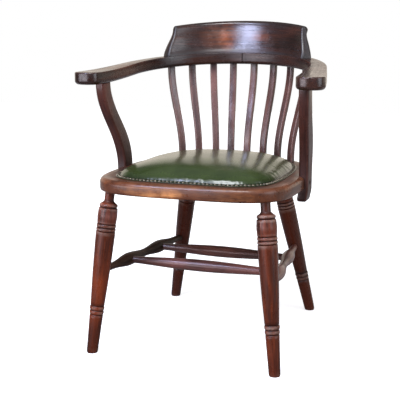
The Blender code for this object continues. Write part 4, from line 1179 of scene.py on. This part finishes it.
def nail_places():
    """Nail centres round the flange at an even pitch, with their outward directions."""
    margins = spread(PAD_EDGE, GAP + LEATHER_THICK + NAIL_ROW)
    fine = [seat_point(angle, margins, 0) for angle in evenly(0, 2 * pi, NAIL_PATH_STEPS)]
    along = [0.0]
    for a, b in zip(fine, fine[1:]):
        along.append(along[-1] + (b - a).length)
    count = round(along[-1] / NAIL_PITCH)
    places = []
    for number in range(count):
        target = along[-1] * number / count
        k = max(bisect_left(along, target) - 1, 0)
        share = (target - along[k]) / (along[k + 1] - along[k])
        spot = fine[k].lerp(fine[k + 1], share)
        run = (fine[k + 1] - fine[k]).normalized()
        places.append((spot, Vector((-run.y, run.x, 0))))
    return places


def gather(mesh, places):
    """Draw the leather down at each nail, unevenly, with soft wrinkles that fade up the crown, and mark
    painted shade along the nailed rim.
    """
    draw = random.Random(11)
    pulls = [draw.uniform(0.2, 1.0) for _ in places]
    tree = kdtree.KDTree(len(places))
    for index, (spot, _) in enumerate(places):
        tree.insert(Vector((spot.x, spot.y, 0)), index)
    tree.balance()
    rim_shade = mesh.attributes["wear_and_painted_light"].data
    for index, vert in enumerate(mesh.vertices):
        x, y, z = vert.co
        flat = Vector((x, y, 0))
        _, near, _ = tree.find(flat)
        spot, outward = places[near]
        away = flat - Vector((spot.x, spot.y, 0))
        inward = -away.dot(outward)
        lifted = z - LEATHER_LIP
        if lifted < -GATHER_BELOW or inward > GATHER_REACH:
            continue
        wave = 0.5 - 0.5 * cos(2 * pi * away.cross(outward).z / NAIL_PITCH)
        crown_share = smooth_step((lifted + GATHER_LOW) / GATHER_FADE)
        fade = exp(-max(inward - TUCK_START, 0.0) / TUCK_FADE)
        tuck = TUCK_DEPTH * pulls[near] * (wave - TUCK_MEAN) * fade
        ripple = sum(part * noise.noise(Vector((x * fine, y * fine, seed))) for part, fine, seed in RIPPLES)
        sag = RIPPLE_DEPTH * ripple * exp(-((inward - RIPPLE_REACH) / RIPPLE_REACH) ** 2)
        vert.co.z += (tuck + sag) * crown_share
        # Painted shade along the nailed rim.
        rim_shade[index].value = exp(-((inward - RIM_SHADE_PLACE) / RIM_SHADE_REACH) ** 2)


def make_nails(places, material):
    """Round-headed nails, each a little off in size, tilt and place."""
    draw = random.Random(7)
    # Columns: out, up and the mark; the mark of -1 at the foot is painted shade, the crown's marks are not
    # read by the brass.
    profile = [(0.86, 0.0, -1.0), (1.0, 0.06, -1.0), (0.97, 0.25, -0.5), (0.86, 0.55, 0.1)]
    profile += [(0.66, 0.80, 0.6), (0.40, 0.94, 1.0), (0.14, 1.0, 1.0)]
    points, faces, wear_and_painted_light = [], [], []
    for spot, _ in places:
        size = NAIL_RADIUS * draw.uniform(0.94, 1.04)
        tilt = Matrix.Rotation(draw.gauss(0, NAIL_TILT), 3, "X")
        tilt = tilt @ Matrix.Rotation(draw.gauss(0, NAIL_TILT), 3, "Y")
        off_x, off_y = draw.gauss(0, NAIL_STRAY), draw.gauss(0, NAIL_STRAY)
        centre = Vector((spot.x + off_x, spot.y + off_y, LEATHER_LIP - NAIL_SINK))
        start = len(points)
        for out, up, worn_and_painted_light in profile:
            for k in range(NAIL_SIDES):
                angle = 2 * pi * k / NAIL_SIDES
                x, y = size * out * cos(angle), size * out * sin(angle)
                points.append(centre + tilt @ Vector((x, y, NAIL_HEIGHT * up)))
                wear_and_painted_light.append(worn_and_painted_light)
        faces += bands(start, NAIL_SIDES, len(profile))
        faces.append(tuple(reversed(range(start, start + NAIL_SIDES))))
        faces.append(tuple(range(len(points) - NAIL_SIDES, len(points))))
    mesh = mesh_of("seat_nails", points, faces, points, wear_and_painted_light)
    piece("seat_nails", mesh, material, "brass", sharp=70.0)


def make_seat(hide, metal):
    """Padded leather, inflated, made finer and drawn in at its nails."""
    fullness = CLOTH_START
    mesh, held = cushion_mesh(PAD_CROWN * fullness)
    cushion = piece("seat_cushion", mesh, hide, "leather", "leather_cover", "stuffing_pad", sharp=60.0)
    inflate(cushion, held, CLOTH_REACH)
    finer = cushion.modifiers.new("finer", "SUBSURF")
    finer.levels = 1
    smooth = finished(cushion)
    cushion.modifiers.clear()
    cushion.data = smooth
    places = nail_places()
    gather(smooth, places)
    make_nails(places, metal)


# Finishes of the whole chair


def dress():
    """Make every piece in its finish, and give the solids that stay theirs."""
    seat = wood(
        "seat_wood", dark=(0.034, 0.010, 0.005), base=(0.112, 0.033, 0.013), light=(0.19, 0.068, 0.028),
        warm=(0.165, 0.050, 0.020), roughness=0.30, gloss=0.42, worn_and_painted_light=(0.62, 0.260, 0.085), patches=SEAT_WEAR,
    )
    # The legs' crown colour is a painted highlight on the bead crowns.
    legs = wood(
        "turned_wood", dark=(0.034, 0.0080, 0.004), base=(0.170, 0.031, 0.010), light=(0.25, 0.056, 0.020),
        warm=(0.260, 0.045, 0.012), roughness=0.28, gloss=0.30, worn_and_painted_light=(0.28, 0.105, 0.080), patches=LEG_WEAR_AND_LIGHT,
        crown_highlight_colour=(0.34, 0.24, 0.19),
    )
    stretchers = wood(
        "stretcher_wood", dark=(0.046, 0.018, 0.014), base=(0.165, 0.062, 0.048), light=(0.27, 0.130, 0.105),
        warm=(0.26, 0.094, 0.070), roughness=0.32, gloss=0.62,
    )
    # A darker, duller copy of the stretcher wood for the left side stretcher: painted shade.
    shaded = wood(
        "shaded_stretcher_wood", dark=(0.014, 0.007, 0.004), base=(0.055, 0.024, 0.012), light=(0.100, 0.046, 0.024),
        warm=(0.085, 0.032, 0.015), roughness=0.46, gloss=0.20,
    )
    arms = wood(
        "arm_wood", dark=(0.012, 0.006, 0.005), base=(0.034, 0.013, 0.010), light=(0.075, 0.027, 0.017),
        warm=(0.068, 0.026, 0.016), roughness=0.23, gloss=0.56, worn_and_painted_light=(0.300, 0.076, 0.020), patches=ARM_WEAR,
    )
    supports = wood(
        "support_wood", dark=(0.024, 0.008, 0.006), base=(0.076, 0.024, 0.017), light=(0.14, 0.045, 0.029),
        warm=(0.14, 0.037, 0.023), roughness=0.30, gloss=0.45,
    )
    slats = wood(
        "slat_wood", dark=(0.036, 0.013, 0.011), base=(0.138, 0.057, 0.044), light=(0.22, 0.098, 0.078),
        warm=(0.21, 0.080, 0.058), roughness=0.26, gloss=0.90,
    )
    make_rails(seat)
    make_legs(legs)
    make_stretchers(stretchers, shaded)
    make_arms(arms)
    make_crest(arms)
    make_slats(slats)
    make_supports(supports)
    make_seat(leather("green_leather"), brass("nail_brass"))
    hidden = {
        "dowel": plain_wood("dowel_wood", (0.30, 0.19, 0.10), (0.48, 0.33, 0.19)),
        "pellet": plain_wood("pellet_wood", (0.034, 0.013, 0.009), (0.120, 0.042, 0.028)),
        "screw": brass("screw_brass"),
        "web": cloth("jute_webbing", (0.20, 0.14, 0.08), (0.45, 0.34, 0.20), 2600.0),
        "hessian": cloth("hessian", (0.16, 0.11, 0.06), (0.40, 0.29, 0.16), 1800.0),
    }
    for name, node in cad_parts.items():
        for word, material in hidden.items():
            if word in name and not node.hide_render:
                node.data.materials.clear()
                node.data.materials.append(material)


dress()


# Stage, light and camera


def make_floor():
    """Plain floor, pale to the camera; what it throws back is dimmer in front of the chair."""
    mesh = bpy.data.meshes.new("floor")
    corners = ((-1, -1), (1, -1), (1, 1), (-1, 1))
    mesh.from_pydata([(x * FLOOR_HALF, y * FLOOR_HALF, 0) for x, y in corners], [], [(0, 1, 2, 3)])
    floor = put("floor", mesh)
    n = material_nodes("pale_floor")
    place, seen = n.place(), n.camera_ray()
    far = n.vector("LENGTH", place, (0, 0, 0), "Value")
    glow = n.times(seen, n.span(far, 0.5, 2.0, 0.72, 1.0))
    unseen = n.mix(n.span(n.axis(place, "Y"), -0.3, 0.9), (0.16, 0.14, 0.13), (0.80, 0.77, 0.73))
    n.set(Base_Color=n.mix(seen, unseen, (0.80, 0.80, 0.80)), Roughness=0.9, Specular_IOR_Level=0.0)
    n.set(Emission_Color=(1.0, 1.0, 1.0), Emission_Strength=glow)
    mesh.materials.append(n.owner)


def make_world():
    """White for the camera; for light and reflections pale behind the chair and dimmer in front."""
    world = bpy.data.worlds.new("studio")
    bpy.context.scene.world = world
    n = Nodes(world, "Background")
    place = n.place("Generated")
    up, behind = n.axis(place, "Z"), n.axis(place, "Y")

    def ramp(value, *limits):
        return n.span(value, *limits, "SMOOTHSTEP")

    wall = n.times(ramp(behind, 0.05, 0.45, 0.0, 1.0), ramp(up, 0.32, 0.47, 1.0, 0.0))
    haze = n.times(ramp(up, 0.06, 0.14, 0.0, 1.0), ramp(up, 0.20, 0.28, 1.0, 0.0))
    haze = n.times(haze, ramp(behind, -0.45, -0.1, 1.0, 0.0))
    around = (0.0, 0.0, 0.0)
    for share, colour in (
        (wall, (0.94, 0.84, 0.73)),
        (ramp(up, 0.45, 0.85, 0.0, 1.0), (0.16, 0.18, 0.20)),
        (ramp(up, -0.2, 0.2, 0.5, 1.0), (0.10, 0.095, 0.09)),
        (haze, (1.00, 1.08, 1.30)),
    ):
        around = n.vector("ADD", around, n.new("VectorMath", {0: colour, "Scale": share}, operation="SCALE"))
    n.set(Color=n.mix(n.camera_ray(), around, (1.0, 1.0, 1.0)))


def make_lights():
    """A window that shows in the crest, and panels round the chair."""
    crest_spot = Vector((0.0, 0.25, 0.8))
    window = crest_spot + 3.0 * Vector((-0.352, -0.791, 0.5))
    for name, place, target, size, power, colour in (
        ("window", window, (0, 0, 0.6), (1.05, 0.75), 70.0, (0.62, 0.68, 1.0)),
        ("left_panel", (-1.6, -2.45, 0.5), (0, 0, 0.55), (2.6, 0.8), 38.0, (0.95, 0.90, 1.0)),
        ("right_panel", (3.0, -1.0, 1.3), (0, 0, 0.6), (1.7, 2.2), 42.0, (0.87, 0.92, 1.0)),
        ("end_panel", (2.15, -0.01, 2.34), (0.19, 0.19, 0.8), (0.6, 1.3), 7.0, (0.84, 0.84, 1.0)),
        ("front_strip", (1.44, -2.45, 1.73), crest_spot, (2.4, 0.5), 5.0, (0.76, 0.80, 1.0)),
        ("sky", (0.0, -1.5, 2.9), (0, 0, 0.4), (1.3, 0.9), 74.0, (0.92, 0.96, 1.0)),
    ):
        lamp = bpy.data.lights.new(name, "AREA")
        lamp.shape = "RECTANGLE"
        lamp.size, lamp.size_y = size
        lamp.energy = power
        lamp.color = colour
        held = put(name, lamp)
        held.location = place
        held.rotation_euler = (Vector(target) - Vector(place)).to_track_quat("-Z", "Y").to_euler()


def make_camera():
    lens = bpy.data.cameras.new("camera")
    camera = put("camera", lens)
    bpy.context.scene.camera = camera
    level = CAMERA_DISTANCE * cos(CAMERA_ELEVATION)
    height = CAMERA_DISTANCE * sin(CAMERA_ELEVATION)
    offset = Vector((level * sin(CAMERA_AZIMUTH), -level * cos(CAMERA_AZIMUTH), height))
    camera.location = CAMERA_TARGET + offset
    camera.rotation_euler = (-offset).to_track_quat("-Z", "Y").to_euler()
    lens.sensor_width = SENSOR_WIDTH
    lens.lens = PHOTO_FOCAL / PHOTO_SIZE * SENSOR_WIDTH
    lens.shift_x = (PHOTO_SIZE / 2 - PHOTO_CENTRE[0]) / PHOTO_SIZE
    lens.shift_y = -(PHOTO_SIZE / 2 - PHOTO_CENTRE[1]) / PHOTO_SIZE
    lens.clip_end = 50.0


make_floor()
make_world()
make_lights()
bpy.context.scene.view_settings.view_transform = "Standard"
make_camera()
